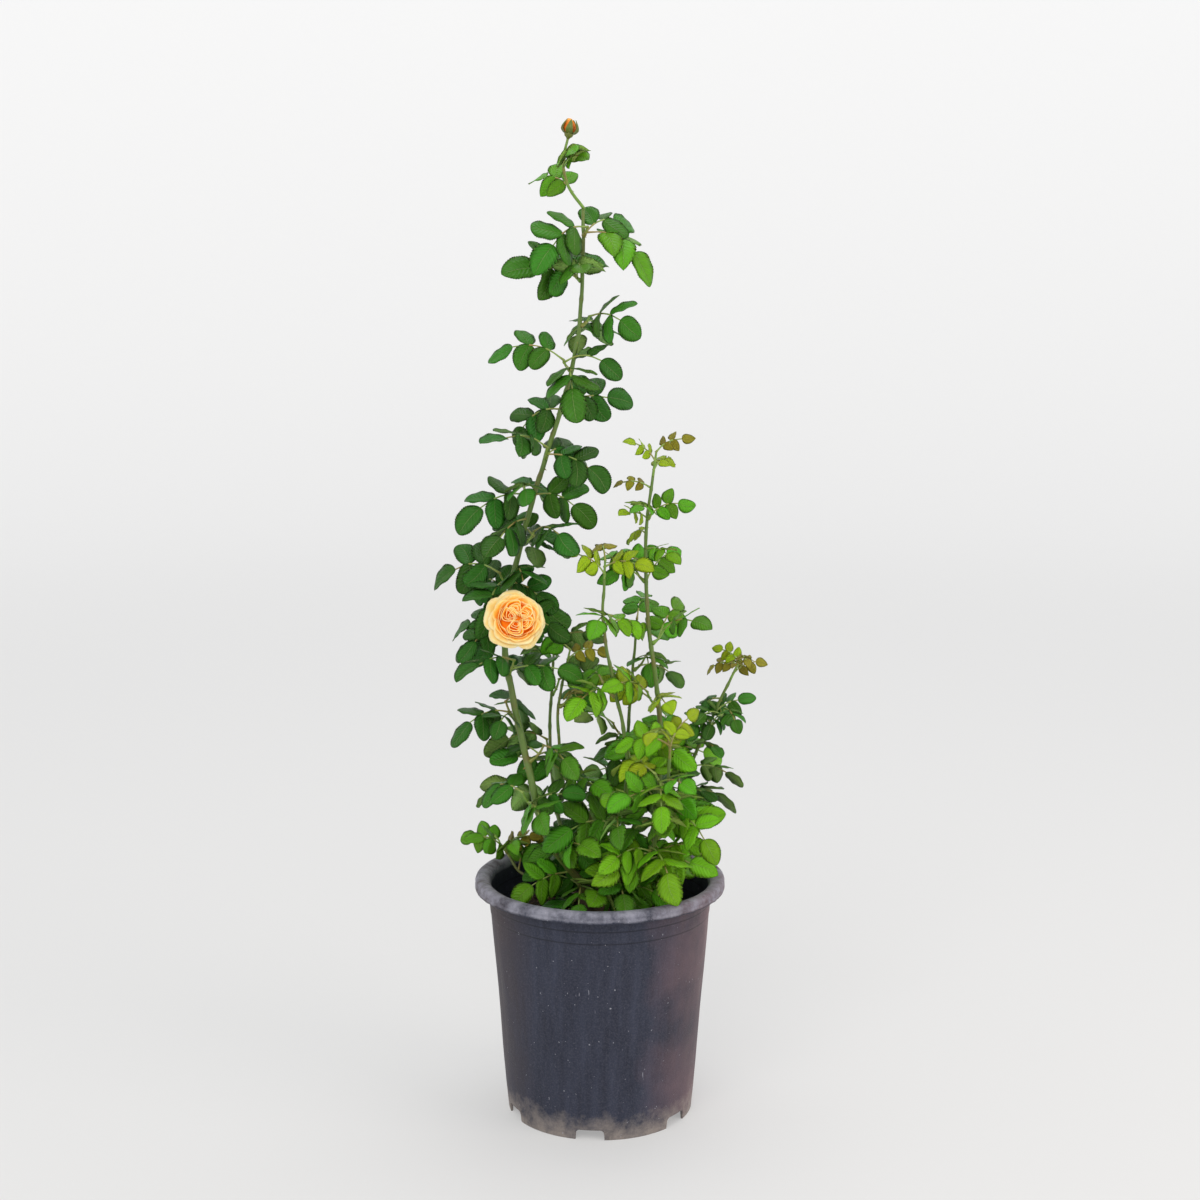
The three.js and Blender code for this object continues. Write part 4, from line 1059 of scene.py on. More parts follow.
def grow_neck(start):
    """The bloom's stalk: out of the cane, up, and into the bloom's back, with room taken for it."""
    middle = (start + bloom_back) / 2 + 3 * neck_out
    middle[2] = start[2] + 8
    points = catmull([start, middle, bloom_back], np.linspace(0, 1, 7))
    return dict(points=points, sets=limb_sets(points, np.full(7, NECK_RADIUS), 6, BLOOM_OWNER))


neck = seat(CANES[0]["owner"], neck_root, neck_out, grow_neck)
take([convex(bloom_corners, 0, BLOOM_OWNER)] + neck["sets"])

grown_shoots = []
for cane in CANES:
    grown_shoots.append(grow_shoot(cane["name"] + "_top", cane, len(grown_shoots), tip_plan(cane)))
for cane in CANES:
    for i in range(cane["shoots"]["count"]):
        shoot = len(grown_shoots)
        node = f"{cane['name']}_shoot_{i + 1}"
        grown_shoots.append(grow_shoot(node, cane, shoot, side_plan(cane, i, shoot)))

# The rule goes on: fine twigs out of each shoot's stem with small leaves of their own, then leaves that
# stand straight on the canes between the shoots. All keep to the shoots' own spaces, and to what is clear.

TWIG_TURNS = (118, -118, 176, 24)
CANE_LEAF_KEY = 200                   # shoot numbers from here on are leaves straight from a cane

# How far each cane fills in: turns tried on each shoot, then from where to where its own leaves stand,
# and how far apart.
FILLING = {
    "cane_tall": (1, (268, 336, 9), (540, 780, 30)),
    "cane_right": (0, (275, 420, 34), (650, 780, 18)),
    "cane_middle": (0, (262, 300, 12), (300, 440, 44)),
    "cane_left": (0, (266, 320, 12)),
    "cane_side": (3, (270, 300, 12), (400, 540, 14)),
    "cane_front": (2, (256, 320, 12), (320, 440, 24)),
    "cane_back_left": (0, (262, 330, 14)),
    "cane_back_right": (0, (270, 420, 30)),
    "cane_low": (4, (250, 310, 7)),
}


def grow_twigs(shoot):
    """Leaves in the gaps that the solids leave along one shoot: more turns, and a little smaller."""
    points, key = shoot["points"], shoot["shoot"]
    tries = FILLING[shoot["cane"]["name"]][0]
    for more, turn in enumerate(TWIG_TURNS[:tries]):
        leaf = shoot["leaves"] + more
        along = STEM_STEPS * (0.25 + 0.7 * draw(key, leaf, 20))
        i = int(along)
        grown = grow_leaf(key, leaf, points[i] + (points[i + 1] - points[i]) * (along - i),
                          shoot["bearing"] + turn + spread(key, leaf, 6, 24),
                          shoot["leaf_slope"] + spread(key, leaf, 7, 26), 0.86 * shoot["scale"],
                          shoot["space"], lambda owners: owners // LEAVES_PER_SHOOT == key)
        if grown:
            leaves.append(dict(grown, node=shoot["node"], cane=shoot["cane"]))


def grow_cane_leaves(number, cane):
    """Leaves straight from a cane's nodes, each a turn on from the last, where there is room."""
    stretches = FILLING[cane["name"]][1:]
    top = cane["points"][-1, 2] - 12
    heights = np.concatenate([np.arange(low, min(high, top), spacing) for low, high, spacing in stretches])
    own = [shoot for shoot in grown_shoots if shoot["cane"] is cane]
    key = CANE_LEAF_KEY + number
    for k, height in enumerate(heights):
        middle, radius, heading = place_on(cane, height)
        aim = TURN * k + 40 * number + spread(key, k, 8, 30)
        out = unit(compass(aim) - heading * (compass(aim) @ heading))
        space = middle + 30 * out, SHOOT_REACH
        nearest = min(own, key=lambda shoot: np.linalg.norm(shoot["points"][0] - middle))
        grown = grow_leaf(key, k, middle + 0.7 * radius * out, aim, cane["slope"] + spread(key, k, 7, 24),
                          0.95 * nearest["scale"], space, lambda owners: owners == cane["owner"])
        if grown:
            leaves.append(dict(grown, node=nearest["node"], cane=cane))


for shoot in grown_shoots:
    grow_twigs(shoot)
for number, cane in enumerate(CANES):
    grow_cane_leaves(number, cane)
foliage_nodes = [shoot["node"] for shoot in grown_shoots]


# ---------------------------------------------------------------- leafy shoots and leaf stalks
# The soft green stems of the side shoots, rooted in the cane with a small collar, and the thin stalks
# of the compound leaves, thickest where they clasp the stem and swollen a little at each pair of leaflets.

STEM_GRAIN = 12                       # stretches of a finished stem
STEM_SIDES = 8
COLLAR = 1.5                          # how much thicker a stem is where it leaves its cane
COLLAR_SPAN = 4.5
STALK_GRAIN = 9
STALK_SIDES = 6
STALK_THINNING = 0.8                  # of the solid stalk's radius
STALK_FOOT = 0.75                     # how much thicker a stalk is at its foot, and where a pair stands
STALK_NODE = 0.22


def finished_stem(stem):
    """A side shoot from its cane's middle outwards, with a collar, or a tip shoot on from its cane's end."""
    points = stem["points"]
    start = points[0] - 2 * unit(points[1] - points[0]) if stem["tip"] else stem["root"]
    knots = np.concatenate([[start], points[1:]])
    share = np.linspace(0, 1, STEM_GRAIN + 1)
    path = catmull(knots, share)
    radii = mix((stem["radii"][0], stem["radii"][-1]), share)
    if not stem["tip"]:
        away = np.linalg.norm(path - path[0], axis=1)
        radii = radii + COLLAR * np.exp(-(away / COLLAR_SPAN) ** 2)
    return ring_surface(rings_along(path, radii, STEM_SIDES))


def finished_stalk(leaf):
    """A leaf's stalk: an arc from inside the stem to the end leaflet, swollen at its foot and each pair."""
    points = leaf["points"]
    knots = np.concatenate([[points[0] - 1.6 * unit(points[1] - points[0])], points[1:]])
    share = np.linspace(0, 1, STALK_GRAIN + 1)
    path = catmull(knots, share)
    radii = STALK_THINNING * mix((leaf["radii"][0], leaf["radii"][-1]), share)
    radii = radii + STALK_FOOT * np.exp(-(share / 0.1) ** 2)
    for pair in (1 / 3, 2 / 3):
        radii = radii + STALK_NODE * np.exp(-((share - pair) / 0.05) ** 2)
    return ring_surface(rings_along(path, radii, STALK_SIDES))


def shoot_skin(name, dark, light, flush, flush_share):
    """Soft new growth: a smooth skin between two greens, flushed with red in scattered patches."""
    material, tree, place, shader = new_material(name)
    mottle = add_node(tree, "ShaderNodeTexNoise", {"Vector": place, "Scale": per_metre(7.14), "Detail": 3})
    green = add_node(tree, "ShaderNodeMix", {0: mottle.outputs["Fac"], 6: linear(dark), 7: linear(light)},
                     data_type="RGBA")
    blush = add_node(tree, "ShaderNodeTexNoise", {"Vector": place, "Scale": per_metre(33.3), "Detail": 2})
    mask = add_node(tree, "ShaderNodeMapRange", {"Value": blush.outputs["Fac"], "From Min": 0.46,
                                                 "From Max": 0.64, "To Max": flush_share})
    skin = add_node(tree, "ShaderNodeMix", {0: mask.outputs[0], 6: green.outputs[2], 7: linear(flush)},
                    data_type="RGBA")
    tree.links.new(skin.outputs[2], shader.inputs["Base Color"])
    shader.inputs["Roughness"].default_value = 0.45
    return material


shoot_green = shoot_skin("soft_shoot_skin", "#557f28", "#86a844", "#8a5a34", 0.5)
stalk_green = shoot_skin("leaf_stalk_skin", "#6a8a34", "#9bb25a", "#9a6a44", 0.6)

twigs = add_piece("shoot_stems", *joined([finished_stem(stem) for stem in stems]), [shoot_green])
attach(twigs, "root")
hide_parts(*foliage_nodes)

stalks = add_piece("leaf_stalks", *joined([finished_stalk(leaf) for leaf in leaves]), [stalk_green])
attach(stalks, "root")
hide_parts(*foliage_nodes)


# ---------------------------------------------------------------- leaflets
# Thin toothed blades with a sunken midrib, arched and a little folded, glossy above and paler below.
# They are dealt out by tone: dark on the tall cane, fresh in the bush, yellow-green and bronze at the tips.

BLADE_LENGTH = 0.94                   # of the solid leaflet's length
BLADE_THICKNESS = 0.5
TEETH_PER_ROW = 2
TOOTH_DEPTH = 0.075
BLADE_ROWS = np.array([0, 0.035, 0.11, 0.22, 0.35, 0.49, 0.63, 0.76, 0.88, 0.96, 1])

# Tone: colour above, colour below, how blunt its tips are (low is blunt), and its size against the solids.
TONES = {
    "mature": ("#296319", "#648d4c", (0.4, 0.58), 1.0),
    "deep": ("#35741a", "#6f9a4a", (0.42, 0.62), 1.0),
    "green": ("#44861a", "#7ba550", (0.55, 0.78), 1.0),
    "fresh": ("#539a18", "#88ad4c", (0.6, 0.85), 1.0),
    "bright": ("#68ac16", "#95b750", (0.6, 0.85), 0.97),
    "young": ("#93b31a", "#a8bf58", (0.65, 0.9), 0.84),
    "bronze": ("#8e8a28", "#a3a052", (0.7, 0.95), 0.72),
}

# The tones along each cane: up to each height, what its leaves are dealt from.
CANE_TONES = {
    "cane_tall": [(400, ("green", "deep", "fresh")), (520, ("deep", "mature", "green")),
                  (860, ("mature", "mature", "deep")), (960, ("deep", "mature", "green")),
                  (1050, ("deep", "green", "deep")), (2000, ("fresh", "deep", "green"))],
    "cane_right": [(455, ("fresh", "bright", "green")), (525, ("young", "bright")),
                   (690, ("fresh", "bright", "green")), (745, ("fresh", "young")),
                   (2000, ("bronze", "young"))],
    "cane_middle": [(540, ("bright", "fresh", "green")), (640, ("fresh", "bright", "young")),
                    (2000, ("bronze", "young"))],
    "cane_left": [(500, ("deep", "green", "fresh")), (2000, ("young", "bronze", "fresh"))],
    "cane_side": [(500, ("mature", "deep", "deep")), (2000, ("young", "bronze"))],
    "cane_front": [(430, ("bright", "fresh", "bright")), (2000, ("young", "bright", "young"))],
    "cane_back_left": [(2000, ("deep", "green", "mature"))],
    "cane_back_right": [(2000, ("green", "deep", "fresh"))],
    "cane_low": [(296, ("fresh", "green")), (2000, ("fresh", "bronze"))],
}


def tone_of(leaf):
    """The tone a whole leaf is dealt, from its cane, the height of its foot and a draw."""
    bands = CANE_TONES[leaf["cane"]["name"]]
    choices = next(tones for top, tones in bands if leaf["points"][0, 2] < top)
    return choices[int(draw(leaf["shoot"], leaf["leaf"], 30) * len(choices))]


def blade_pattern():
    """One leaflet's grid: for each corner its share along (u), its share across (s), 1 on the upper face
    or 0 below, then the faces, and which of them lie below. A margin face runs over the teeth."""
    rows = len(BLADE_ROWS)
    u, s, upper, faces, lower = [], [], [], [], []

    def corner(at, across, above=1.0):
        u.append(at)
        s.append(across)
        upper.append(above)
        return len(u) - 1

    top = [[corner(at, across) for across in (-1, -0.5, 0, 0.5, 1)] for at in BLADE_ROWS]
    rib = [corner(at, 0, 0.0) for at in BLADE_ROWS]
    for i in range(rows - 1):
        low, high = BLADE_ROWS[i], BLADE_ROWS[i + 1]
        for hand, edge, half in ((-1, 0, 1), (1, 4, 3)):
            margin = []
            for k in range(TEETH_PER_ROW):
                if k:
                    margin.append(corner(mix((low, high), k / TEETH_PER_ROW), hand))
                margin.append(corner(mix((low, high), (k + 0.62) / TEETH_PER_ROW), hand * (1 + TOOTH_DEPTH)))
            over = [top[i][half], top[i][edge], *margin, top[i + 1][edge], top[i + 1][half]]
            under = [rib[i], rib[i + 1], top[i + 1][edge], *margin[::-1], top[i][edge]]
            inner = [top[i][2], top[i][half], top[i + 1][half], top[i + 1][2]]
            for face in (over, under, inner):
                faces.append(face if hand == -1 else face[::-1])
                lower.append(face is under)
    faces += [[*top[0], rib[0]], [rib[-1], *top[-1][::-1]]]
    return np.array(u), np.array(s), np.array(upper), faces, np.array(lower + [False, False])


def finished_blades(blades, rng, blunt, size):
    """All leaflets of a tone at once. Half width is u^0.46 (1-u)^b, scaled to its greatest; the blade is
    folded up along its rib, arched over at the edges, drooped by u squared, waved and twisted."""
    u, s, upper, faces, lower = blade_pattern()
    count = len(blades)
    foot, heading, normal = (np.array([blade[key] for blade in blades])[:, None]
                             for key in ("foot", "heading", "normal"))
    across = np.cross(normal, heading)
    length, width = (np.array([[blade[key]] for blade in blades]) for key in ("length", "width"))
    length, width = length * BLADE_LENGTH * size, width * size
    b = rng.uniform(*blunt, (count, 1))
    most = (0.46 / (0.46 + b)) ** 0.46 * (b / (0.46 + b)) ** b
    half = width / 2 * np.maximum(u ** 0.46 * (1 - u) ** b / most, 0.035)
    fold, droop, twist, sway, phase = (rng.uniform(low, high, (count, 1)) for low, high in (
        (0.1, 0.5), (0.03, 0.26), (-0.3, 0.3), (-0.1, 0.1), (0, 6.3)))
    out = half * s * (1 - 0.06 * np.abs(s))
    lift = half * (fold * np.abs(s) - 0.2 * s ** 2) - droop * length * u ** 2
    lift = lift + twist * out * u + 0.045 * half * np.sin(2 * np.pi * 2.3 * u + phase + s) * s ** 2
    lift = lift - (1 - upper) * BLADE_THICKNESS
    out = out + sway * length * np.sin(np.pi * u)
    skin = foot + heading * (u * length)[..., None] + across * out[..., None] + normal * lift[..., None]
    step = len(u)
    faces = [[k + i * step for k in face] for i in range(count) for face in faces]
    uv = np.tile(np.stack([s / 2 + 0.5, u], axis=-1), (count, 1))
    return skin.reshape(-1, 3), faces, uv, np.tile(lower, count).astype(int)


def leaf_skin(name, colour, roughness, vein_share):
    """A leaflet's skin: its plain tone, a shade of its own per blade, a pale rib, and side veins that
    are sunk by bump. The veins follow the blade's own map, eight to a side."""
    material, tree, place, shader = new_material(name)
    across_along = add_node(tree, "ShaderNodeTexCoord", {}).outputs["UV"]
    split = add_node(tree, "ShaderNodeSeparateXYZ", {"Vector": across_along})
    offset = add_node(tree, "ShaderNodeMath", {0: split.outputs["X"], 1: 0.5}, operation="SUBTRACT")
    away = add_node(tree, "ShaderNodeMath", {0: offset.outputs[0]}, operation="ABSOLUTE").outputs[0]
    slant = add_node(tree, "ShaderNodeMath", {0: away, 1: -0.62, 2: split.outputs["Y"]},
                     operation="MULTIPLY_ADD")
    order = add_node(tree, "ShaderNodeMath", {0: slant.outputs[0], 1: 8.0}, operation="MULTIPLY")
    wave = add_node(tree, "ShaderNodeMath", {0: order.outputs[0], 1: 0.5}, operation="PINGPONG").outputs[0]
    side_vein = add_node(tree, "ShaderNodeMapRange", {"Value": wave, "From Min": 0.1, "From Max": 0.0})
    rib = add_node(tree, "ShaderNodeMapRange", {"Value": away, "From Min": 0.024, "From Max": 0.008})
    vein = add_node(tree, "ShaderNodeMath", {0: side_vein.outputs[0], 1: 0.5, 2: rib.outputs[0]},
                    operation="MULTIPLY_ADD", use_clamp=True)
    vein_tone = add_node(tree, "ShaderNodeMath", {0: vein.outputs[0], 1: vein_share}, operation="MULTIPLY")
    each = add_node(tree, "ShaderNodeNewGeometry", {}).outputs["Random Per Island"]
    mottle = add_node(tree, "ShaderNodeTexNoise", {"Vector": place, "Scale": per_metre(11.1), "Detail": 3})
    shade = add_node(tree, "ShaderNodeMath", {0: each, 1: mottle.outputs["Fac"]}, operation="ADD")
    value = add_node(tree, "ShaderNodeMapRange", {"Value": shade.outputs[0], "From Min": 0.3, "From Max": 1.7,
                                                  "To Min": 0.7, "To Max": 1.34})
    hue = add_node(tree, "ShaderNodeMapRange", {"Value": each, "To Min": 0.48, "To Max": 0.503})
    toned = add_node(tree, "ShaderNodeHueSaturation", {"Hue": hue.outputs[0], "Value": value.outputs[0],
                                                       "Color": linear(colour)})
    skin = add_node(tree, "ShaderNodeMix", {0: vein_tone.outputs[0], 6: toned.outputs["Color"],
                                            7: linear("#b9cc86")}, data_type="RGBA")
    quilt = add_node(tree, "ShaderNodeMath", {0: wave, 1: 1.2, 2: vein.outputs[0]}, operation="MULTIPLY_ADD")
    bump = add_node(tree, "ShaderNodeBump", {"Height": quilt.outputs[0], "Strength": 0.9,
                                             "Distance": 0.001})
    tree.links.new(skin.outputs[2], shader.inputs["Base Color"])
    tree.links.new(bump.outputs["Normal"], shader.inputs["Normal"])
    shader.inputs["Roughness"].default_value = roughness
    shader.inputs["Specular IOR Level"].default_value = 0.16
    shader.inputs["Subsurface Weight"].default_value = 0.12
    shader.inputs["Subsurface Radius"].default_value = (0.6, 1.0, 0.3)
    shader.inputs["Subsurface Scale"].default_value = 0.0012
    return material


rng = np.random.default_rng(61)
for tone, (above, below, blunt, size) in TONES.items():
    dealt = [leaf for leaf in leaves if tone_of(leaf) == tone]
    blades = [blade for leaf in dealt for blade in leaf["blades"]]
    vertices, faces, uv, shades = finished_blades(blades, rng, blunt, size)
    skins = [leaf_skin(tone + "_leaf_top", above, 0.38, 0.19),
             leaf_skin(tone + "_leaf_back", below, 0.62, 0.4)]
    piece = add_piece(tone + "_leaflets", vertices, faces, skins, uv, shades)
    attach(piece, "root")
    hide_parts(*sorted({leaf["node"] for leaf in dealt}))


# ---------------------------------------------------------------- bloom
# One open rosette: wide pale guard petals that curl back at the rim, cupped apricot petals inside
# them, and a heart of short folded petals in five quarters, deepest orange where they crowd.

# Each whorl: petals, radius and height of its rim, height of its foot, half angle of a petal, how far its
# rim curls over, and how open it lies (1 is flat). Height is along the facing from the bloom's centre.
WHORLS = [
    dict(kind="guard", count=5, rim=37, top=0.5, foot=-17, half=45, curl=3.4, open=1.0),
    dict(kind="guard", count=6, rim=32.5, top=6.5, foot=-16, half=40, curl=3.0, open=0.8),
    dict(kind="cup", count=6, rim=28, top=10.5, foot=-14, half=38, curl=2.2, open=0.55),
    dict(kind="cup", count=7, rim=23.8, top=13, foot=-12, half=34, curl=1.4, open=0.3),
    dict(kind="heart", count=7, rim=20.6, top=14.4, foot=-9, half=32, curl=0.6, open=0.1),
    dict(kind="heart", count=5, rim=5.6, top=13.4, foot=3, half=44, curl=0.5, open=0.3),
]
PETAL_SHEET = 0.45
PAINTED_PETAL_GLOW = 0.07                     # painted glow: each petal emits its own colour, standing in for light that comes through from petal to petal
HEART_LOBES = 5
HEART_FOLDS = 5
HEART_LEAN = 0.3                      # how far the heart leans to one side as it rises


def flower_axes(facing):
    """Two unit vectors square to the facing, the second as near upright as can be."""
    level = unit(np.cross(UP, facing))
    return level, np.cross(facing, level)


def grid_faces(rows, columns):
    """Quads of an open grid of rows by columns."""
    at = np.arange(rows * columns).reshape(rows, columns)
    return np.stack([at[:-1, :-1], at[:-1, 1:], at[1:, 1:], at[1:, :-1]], axis=-1).reshape(-1, 4).tolist()


def petal_map(a, b):
    """A petal's own map: a from -1 to 1 across it becomes 0 to 1, and b runs from its foot to its rim."""
    return np.stack([a / 2 + 0.5, b], axis=-1)


def cup_petal(whorl, turn, rng, rows=11, columns=13):
    """A petal on a grid of a (across, -1 to 1) and b (foot to rim). A cupped one runs out as the sine of b
    and then up; an open one goes up as the sine of b and then out. Past b = 0.72 its rim curls down."""
    a, b = np.meshgrid(np.linspace(-1, 1, columns), np.linspace(0, 1, rows))
    lobe = 1 - 0.2 * a ** 2 - 0.05 * rng.uniform(0.3, 1) * np.exp(-(a / 0.22) ** 2)
    grown = b * (lobe + 0.03 * np.sin(5 * a + rng.uniform(0, 6)))
    angle = turn + np.radians(whorl["half"]) * a * (0.35 + 0.65 * np.sqrt(b)) * rng.uniform(0.92, 1.06)
    rim = whorl["rim"] * rng.uniform(0.94, 1.03)
    open_share = whorl["open"]
    out_share = (1 - open_share) * np.sin(np.pi / 2 * grown ** 0.8) + open_share * grown ** 1.15
    up_share = (1 - open_share) * grown ** 1.7 + open_share * np.sin(np.pi / 2 * grown) ** 0.9
    radius = 2 + (rim - 2) * out_share
    height = whorl["foot"] + (whorl["top"] + rng.uniform(-2.2, 1.6) - whorl["foot"]) * up_share
    roll = np.clip((grown - 0.72) / 0.28, 0, 1)
    height = height - whorl["curl"] * roll ** 2 * rng.uniform(0.7, 1.3)
    radius = radius + 0.12 * whorl["curl"] * roll
    edge = np.abs(a) ** 4 * b
    radius = radius + edge * rng.uniform(-0.6, 1.0) + 0.5 * np.sin(3 * a + 4 * b + rng.uniform(0, 6)) * b
    height = height + 0.55 * np.sin(4.3 * a + rng.uniform(0, 6)) * b ** 2
    return np.stack([radius * np.cos(angle), radius * np.sin(angle), height], axis=-1), petal_map(a, b)


def fold_petal(lobe_turn, fold, reach, rng, rows=7, columns=19):
    """A heart petal folded into a U that opens to the middle: a runs round the U, b up its wall. Past
    b = 0.6 the wall flares out from the U's own middle, so that its pale edge shows from the front."""
    a, b = np.meshgrid(np.linspace(-1, 1, columns), np.linspace(0, 1, rows))
    share = fold / HEART_FOLDS
    far = (19.6 - 12.0 * share) * reach + rng.uniform(-0.8, 0.8)
    near = 1.2 + 3.0 * share + rng.uniform(-1.2, 1.2)
    wide = (9.6 - 7.4 * share) * rng.uniform(0.8, 1.12)
    flare = 0.88 + 0.1 * b + (0.2 + 0.1 * share) * np.clip((b - 0.6) / 0.4, 0, 1) ** 1.4
    along = (far - near) * (np.cos(np.pi / 2 * a) ** 0.6 - 0.5) * flare + (near + far) / 2
    side = 1.5 * wide * np.sin(np.pi / 2 * a) * (0.3 + 0.7 * np.cos(np.pi / 2 * a)) * flare
    side = side + 0.8 * np.sin(4 * a + rng.uniform(0, 6)) * b
    along = along + 0.7 * np.sin(6 * a + rng.uniform(0, 6)) * b
    top = 14.8 - 2.0 * share + rng.uniform(-1.4, 1.0)
    height = 6.5 + (top - 6.5) * b ** 0.8 + 0.9 * np.sin(5 * a + rng.uniform(0, 6)) * b ** 2
    height = height - 1.2 * a ** 4 * b
    x = along * np.cos(lobe_turn) - side * np.sin(lobe_turn)
    y = along * np.sin(lobe_turn) + side * np.cos(lobe_turn)
    return np.stack([x, y, height], axis=-1), petal_map(a, b)


def heart_bed(rows=8, columns=33):
    """The crowded petal feet that close the heart's floor: a shallow dome, puckered round its turn."""
    turn, share = np.meshgrid(np.linspace(0, 2 * np.pi, columns), np.linspace(0.01, 1, rows))
    height = 8.6 - 3.6 * share ** 2 + 0.5 * np.sin(9 * turn) * share
    uv = np.stack([turn / 6.3, 0.2 * share], axis=-1)
    return np.stack([18 * share * np.cos(turn), 18 * share * np.sin(turn), height], axis=-1), uv


def placed(petals, centre, facing):
    """Petals as (grid, map) in the flower's own axes, joined and set at its centre: vertices, faces, map."""
    level, upright = flower_axes(facing)
    parts, maps = [], []
    for grid, uv in petals:
        leaning = grid.reshape(-1, 3) + np.maximum(grid.reshape(-1, 3)[:, 2:], 0) * [HEART_LEAN, 0.1, 0]
        parts.append((centre + leaning @ np.stack([level, upright, facing]), grid_faces(*grid.shape[:2])))
        maps.append(uv.reshape(-1, 2))
    vertices, faces = joined(parts)
    return vertices, faces, np.concatenate(maps)


def petal_skin(name, deep, body, rim):
    """A petal's skin: deep at its foot, its own colour up the blade, pale at the rim, with fine veins that
    run lengthwise."""
    material, tree, place, shader = new_material(name)
    across_along = add_node(tree, "ShaderNodeTexCoord", {}).outputs["UV"]
    along = add_node(tree, "ShaderNodeSeparateXYZ", {"Vector": across_along}).outputs["Y"]
    drawn_out = add_node(tree, "ShaderNodeMapping", {"Vector": across_along, "Scale": (26, 1.2, 1)})
    veins = add_node(tree, "ShaderNodeTexNoise", {"Vector": drawn_out.outputs["Vector"], "Scale": 2.2,
                                                  "Detail": 4})
    blotch = add_node(tree, "ShaderNodeTexNoise", {"Vector": place, "Scale": per_metre(8.33), "Detail": 2})
    shift = add_node(tree, "ShaderNodeMath", {0: blotch.outputs["Fac"], 1: 0.3, 2: along},
                     operation="MULTIPLY_ADD").outputs[0]
    skin = linear(deep)
    for low, high, tone in ((0.7, 1.02, body), (1.0, 1.16, rim)):
        share = add_node(tree, "ShaderNodeMapRange", {"Value": shift, "From Min": low, "From Max": high})
        skin = add_node(tree, "ShaderNodeMix", {0: share.outputs[0], 6: skin, 7: linear(tone)},
                        data_type="RGBA").outputs[2]
    bump = add_node(tree, "ShaderNodeBump", {"Height": veins.outputs["Fac"], "Strength": 0.25,
                                             "Distance": 0.0005})
    tree.links.new(skin, shader.inputs["Base Color"])
    # Painted glow: the petal emits its own colour, standing in for light passed on through the petals.
    tree.links.new(skin, shader.inputs["Emission Color"])
    tree.links.new(bump.outputs["Normal"], shader.inputs["Normal"])
    shader.inputs["Emission Strength"].default_value = PAINTED_PETAL_GLOW
    shader.inputs["Roughness"].default_value = 0.62
    shader.inputs["Specular IOR Level"].default_value = 0.2
    shader.inputs["Subsurface Weight"].default_value = 0.12
    shader.inputs["Subsurface Radius"].default_value = (1.0, 0.55, 0.25)
    shader.inputs["Subsurface Scale"].default_value = 0.001
    return material


def add_petals(name, petals, skin, centre, facing, node):
    """A joined piece of petals, given its thickness, that rides on the plant for its node."""
    vertices, faces, uv = placed(petals, centre, facing)
    piece = add_piece(name, vertices, faces, [skin], uv)
    sheet = piece.modifiers.new("petal_thickness", "SOLIDIFY")
    sheet.thickness = PETAL_SHEET * 0.001
    sheet.offset = 0
    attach(piece, "root")
    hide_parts(node)
    return piece


# What each kind of petal is called, and its tones at the foot, up the blade and at the rim.
PETAL_TONES = {
    "guard": ("cream_guard_petal", "#f6ac40", "#f0cb78", "#f4e2ac"),
    "cup": ("apricot_cup_petal", "#fb9e20", "#fbbb4e", "#ffdc92"),
    "heart": ("orange_heart_petal", "#fb8a08", "#fcb232", "#ffe3a2"),
}

rng = np.random.default_rng(71)
bloom_petals = {kind: [] for kind in PETAL_TONES}
for level, whorl in enumerate(WHORLS):
    for k in range(whorl["count"]):
        turn = level * 0.62 + 0.3 + 2 * np.pi * (k + rng.uniform(-0.16, 0.16)) / whorl["count"]
        bloom_petals[whorl["kind"]].append(cup_petal(whorl, turn, rng))
bloom_petals["heart"].append(heart_bed())
for lobe in range(HEART_LOBES):
    lobe_turn = 2 * np.pi * (lobe + rng.uniform(-0.2, 0.2)) / HEART_LOBES + 0.5
    reach = rng.uniform(0.84, 1.04)
    for fold in range(HEART_FOLDS):
        turn = lobe_turn + rng.uniform(-0.16, 0.16)
        bloom_petals["heart"].append(fold_petal(turn, fold, reach, rng))
for kind, (skin_name, *tones) in PETAL_TONES.items():
    add_petals(f"bloom_{kind}_petals", bloom_petals[kind], petal_skin(skin_name, *tones), BLOOM_CENTRE,
               BLOOM_FACING, "bloom_shoot")


# The green hip behind the petals, its five sepals folded back, and the neck down to the cane.
SEPAL_COUNT = 5
SEPAL_SHEET = 0.5
NECK_GRAIN = 15                       # rings along the finished neck


def turned_profile(profile, centre, facing, around=24):
    """A profile of (radius, distance along the facing) carried round it, as a closed skin."""
    level, upright = flower_axes(facing)
    turn = np.linspace(0, 2 * np.pi, around, endpoint=False)
    spoke = np.cos(turn)[:, None] * level + np.sin(turn)[:, None] * upright
    profile = np.asarray(profile, dtype=float)
    return ring_surface(centre + profile[:, None, :1] * spoke + profile[:, None, 1:] * facing)


def sepal(centre, facing, turn, path, width, rows=12, columns=7):
    """A sepal's grid: its middle line follows (radius, height) knots, it is widest near its foot, and it
    is cupped by the square of the distance from its middle."""
    level, upright = flower_axes(facing)
    out = np.cos(turn) * level + np.sin(turn) * upright
    line = catmull(path, np.linspace(0, 1, rows))
    share = np.linspace(0, 1, rows)[:, None]
    half = width / 2 * np.maximum((share + 0.12) ** 0.4 * (1 - share) ** 0.8 * 1.35, 0.04)
    middle = line[:, :1, None] * out + line[:, 1:, None] * facing
    a = np.linspace(-1, 1, columns)
    cup = (0.35 * half * a ** 2)[..., None] * out
    return centre + middle + (half * a)[..., None] * np.cross(facing, out) + cup


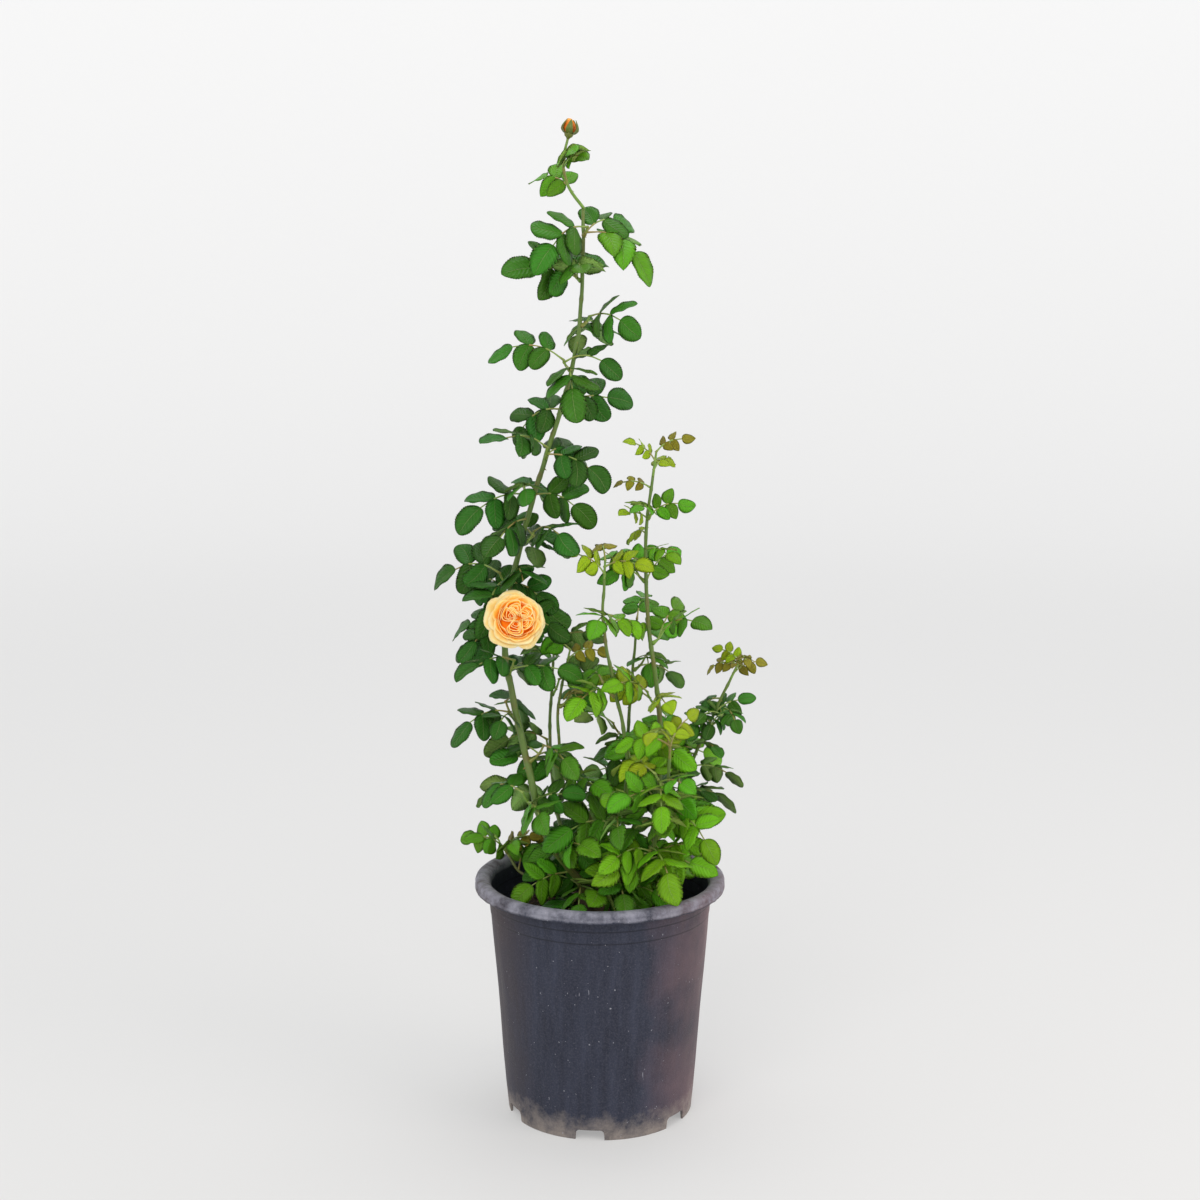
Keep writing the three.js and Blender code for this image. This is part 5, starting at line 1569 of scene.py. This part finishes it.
def add_greens(hip_name, hip, sepals_name, sepals, skin, node):
    """The green parts behind a flower, which stand for its node: a closed hip, and sepals as sheets that
    are given their thickness."""
    blades = joined([(grid.reshape(-1, 3), grid_faces(*grid.shape[:2])) for grid in sepals])
    pieces = add_piece(hip_name, *hip, [skin]), add_piece(sepals_name, *blades, [skin])
    sheet = pieces[1].modifiers.new("sepal_thickness", "SOLIDIFY")
    sheet.thickness = SEPAL_SHEET * 0.001
    for piece in pieces:
        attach(piece, "root")
        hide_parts(node)


# Radius in millimetres, and the height as a share of the bloom's radius.
hip_profile = np.array([(0.5, -0.86), (2.3, -0.84), (3.0, -0.78), (5.6, -0.7), (6.4, -0.62), (5.6, -0.54),
                        (6.6, -0.46), (3, -0.42)]) * [1, BLOOM_RADIUS]
folded_back = np.array([(5.5, -0.52), (14, -0.56), (21, -0.66), (25, -0.86)]) * [1, BLOOM_RADIUS]
neck_end = bloom_back - 0.22 * BLOOM_RADIUS * BLOOM_FACING
neck_middle = (neck_root + neck_end) / 2 + [0, 0, -3]
neck_path = catmull([neck_root, neck_middle, neck_end], np.linspace(0, 1, NECK_GRAIN))
neck_skin = ring_surface(rings_along(neck_path, np.full(NECK_GRAIN, NECK_RADIUS), 10))
hip_and_neck = joined([turned_profile(hip_profile, BLOOM_CENTRE, BLOOM_FACING), neck_skin])
bloom_sepals = [sepal(BLOOM_CENTRE, BLOOM_FACING, 2 * np.pi * k / SEPAL_COUNT + 0.2, folded_back, 9)
                for k in range(SEPAL_COUNT)]
add_greens("bloom_hip_and_neck", hip_and_neck, "bloom_sepals", bloom_sepals,
           shoot_skin("sepal_skin", "#4f7a2c", "#7fa348", "#8a6a3a", 0.3), "bloom_shoot")


# ---------------------------------------------------------------- bud
# The bud at the top of the tall cane: a round green hip, and five sepals that have just parted over
# furled orange petals.

BUD_PETALS = 5
tall_tip = grown_shoots[0]["points"]
bud_foot = tall_tip[-1]
bud_facing = unit(tall_tip[-1] - tall_tip[-2])


def furled_petal(turn, rows=12, columns=11):
    """A furled petal: its radius is an egg's, the sine of b to the power 0.75, and it winds round as b
    rises, with one side edge lying over the next petal."""
    a, b = np.meshgrid(np.linspace(-1, 1, columns), np.linspace(0.04, 1, rows))
    angle = turn + 1.05 * a + 0.9 * b
    egg = BUD_RADIUS * 0.76 * np.sin(np.pi * (0.1 + 0.84 * b)) ** 0.75
    radius = egg * (1 + 0.05 * a)
    height = 2 + (BUD_LENGTH - 7) * b - 0.9 * a ** 2 * b
    return np.stack([radius * np.cos(angle), radius * np.sin(angle), height], axis=-1), petal_map(a, b)


furled_petals = [furled_petal(2 * np.pi * k / BUD_PETALS) for k in range(BUD_PETALS)]
# The bud's petals carry the same painted glow as the bloom's.
add_petals("bud_petals", furled_petals, petal_skin("furled_bud_petal", "#e0701c", "#ef9030", "#f4aa4c"),
           bud_foot, bud_facing, "cane_tall_top")

bud_profile = [(1, -4), (1.5, -3.4), (2.2, -2), (4.6, 0), (5.4, 2.4), (5, 4.8), (4, 6), (1, 6.5)]
bud_sepals = [sepal(bud_foot, bud_facing, 2 * np.pi * k / SEPAL_COUNT + 0.5,
                    [(4.8, 3), (8.1, 7), (8.0, 12), (3.6 + 1.6 * (k % 2), 19)], 11)
              for k in range(SEPAL_COUNT)]
add_greens("bud_hip", turned_profile(bud_profile, bud_foot, bud_facing), "bud_sepals", bud_sepals,
           shoot_skin("bud_sepal_skin", "#4a5f1c", "#6d7f2e", "#7a4a22", 0.5), "cane_tall_top")
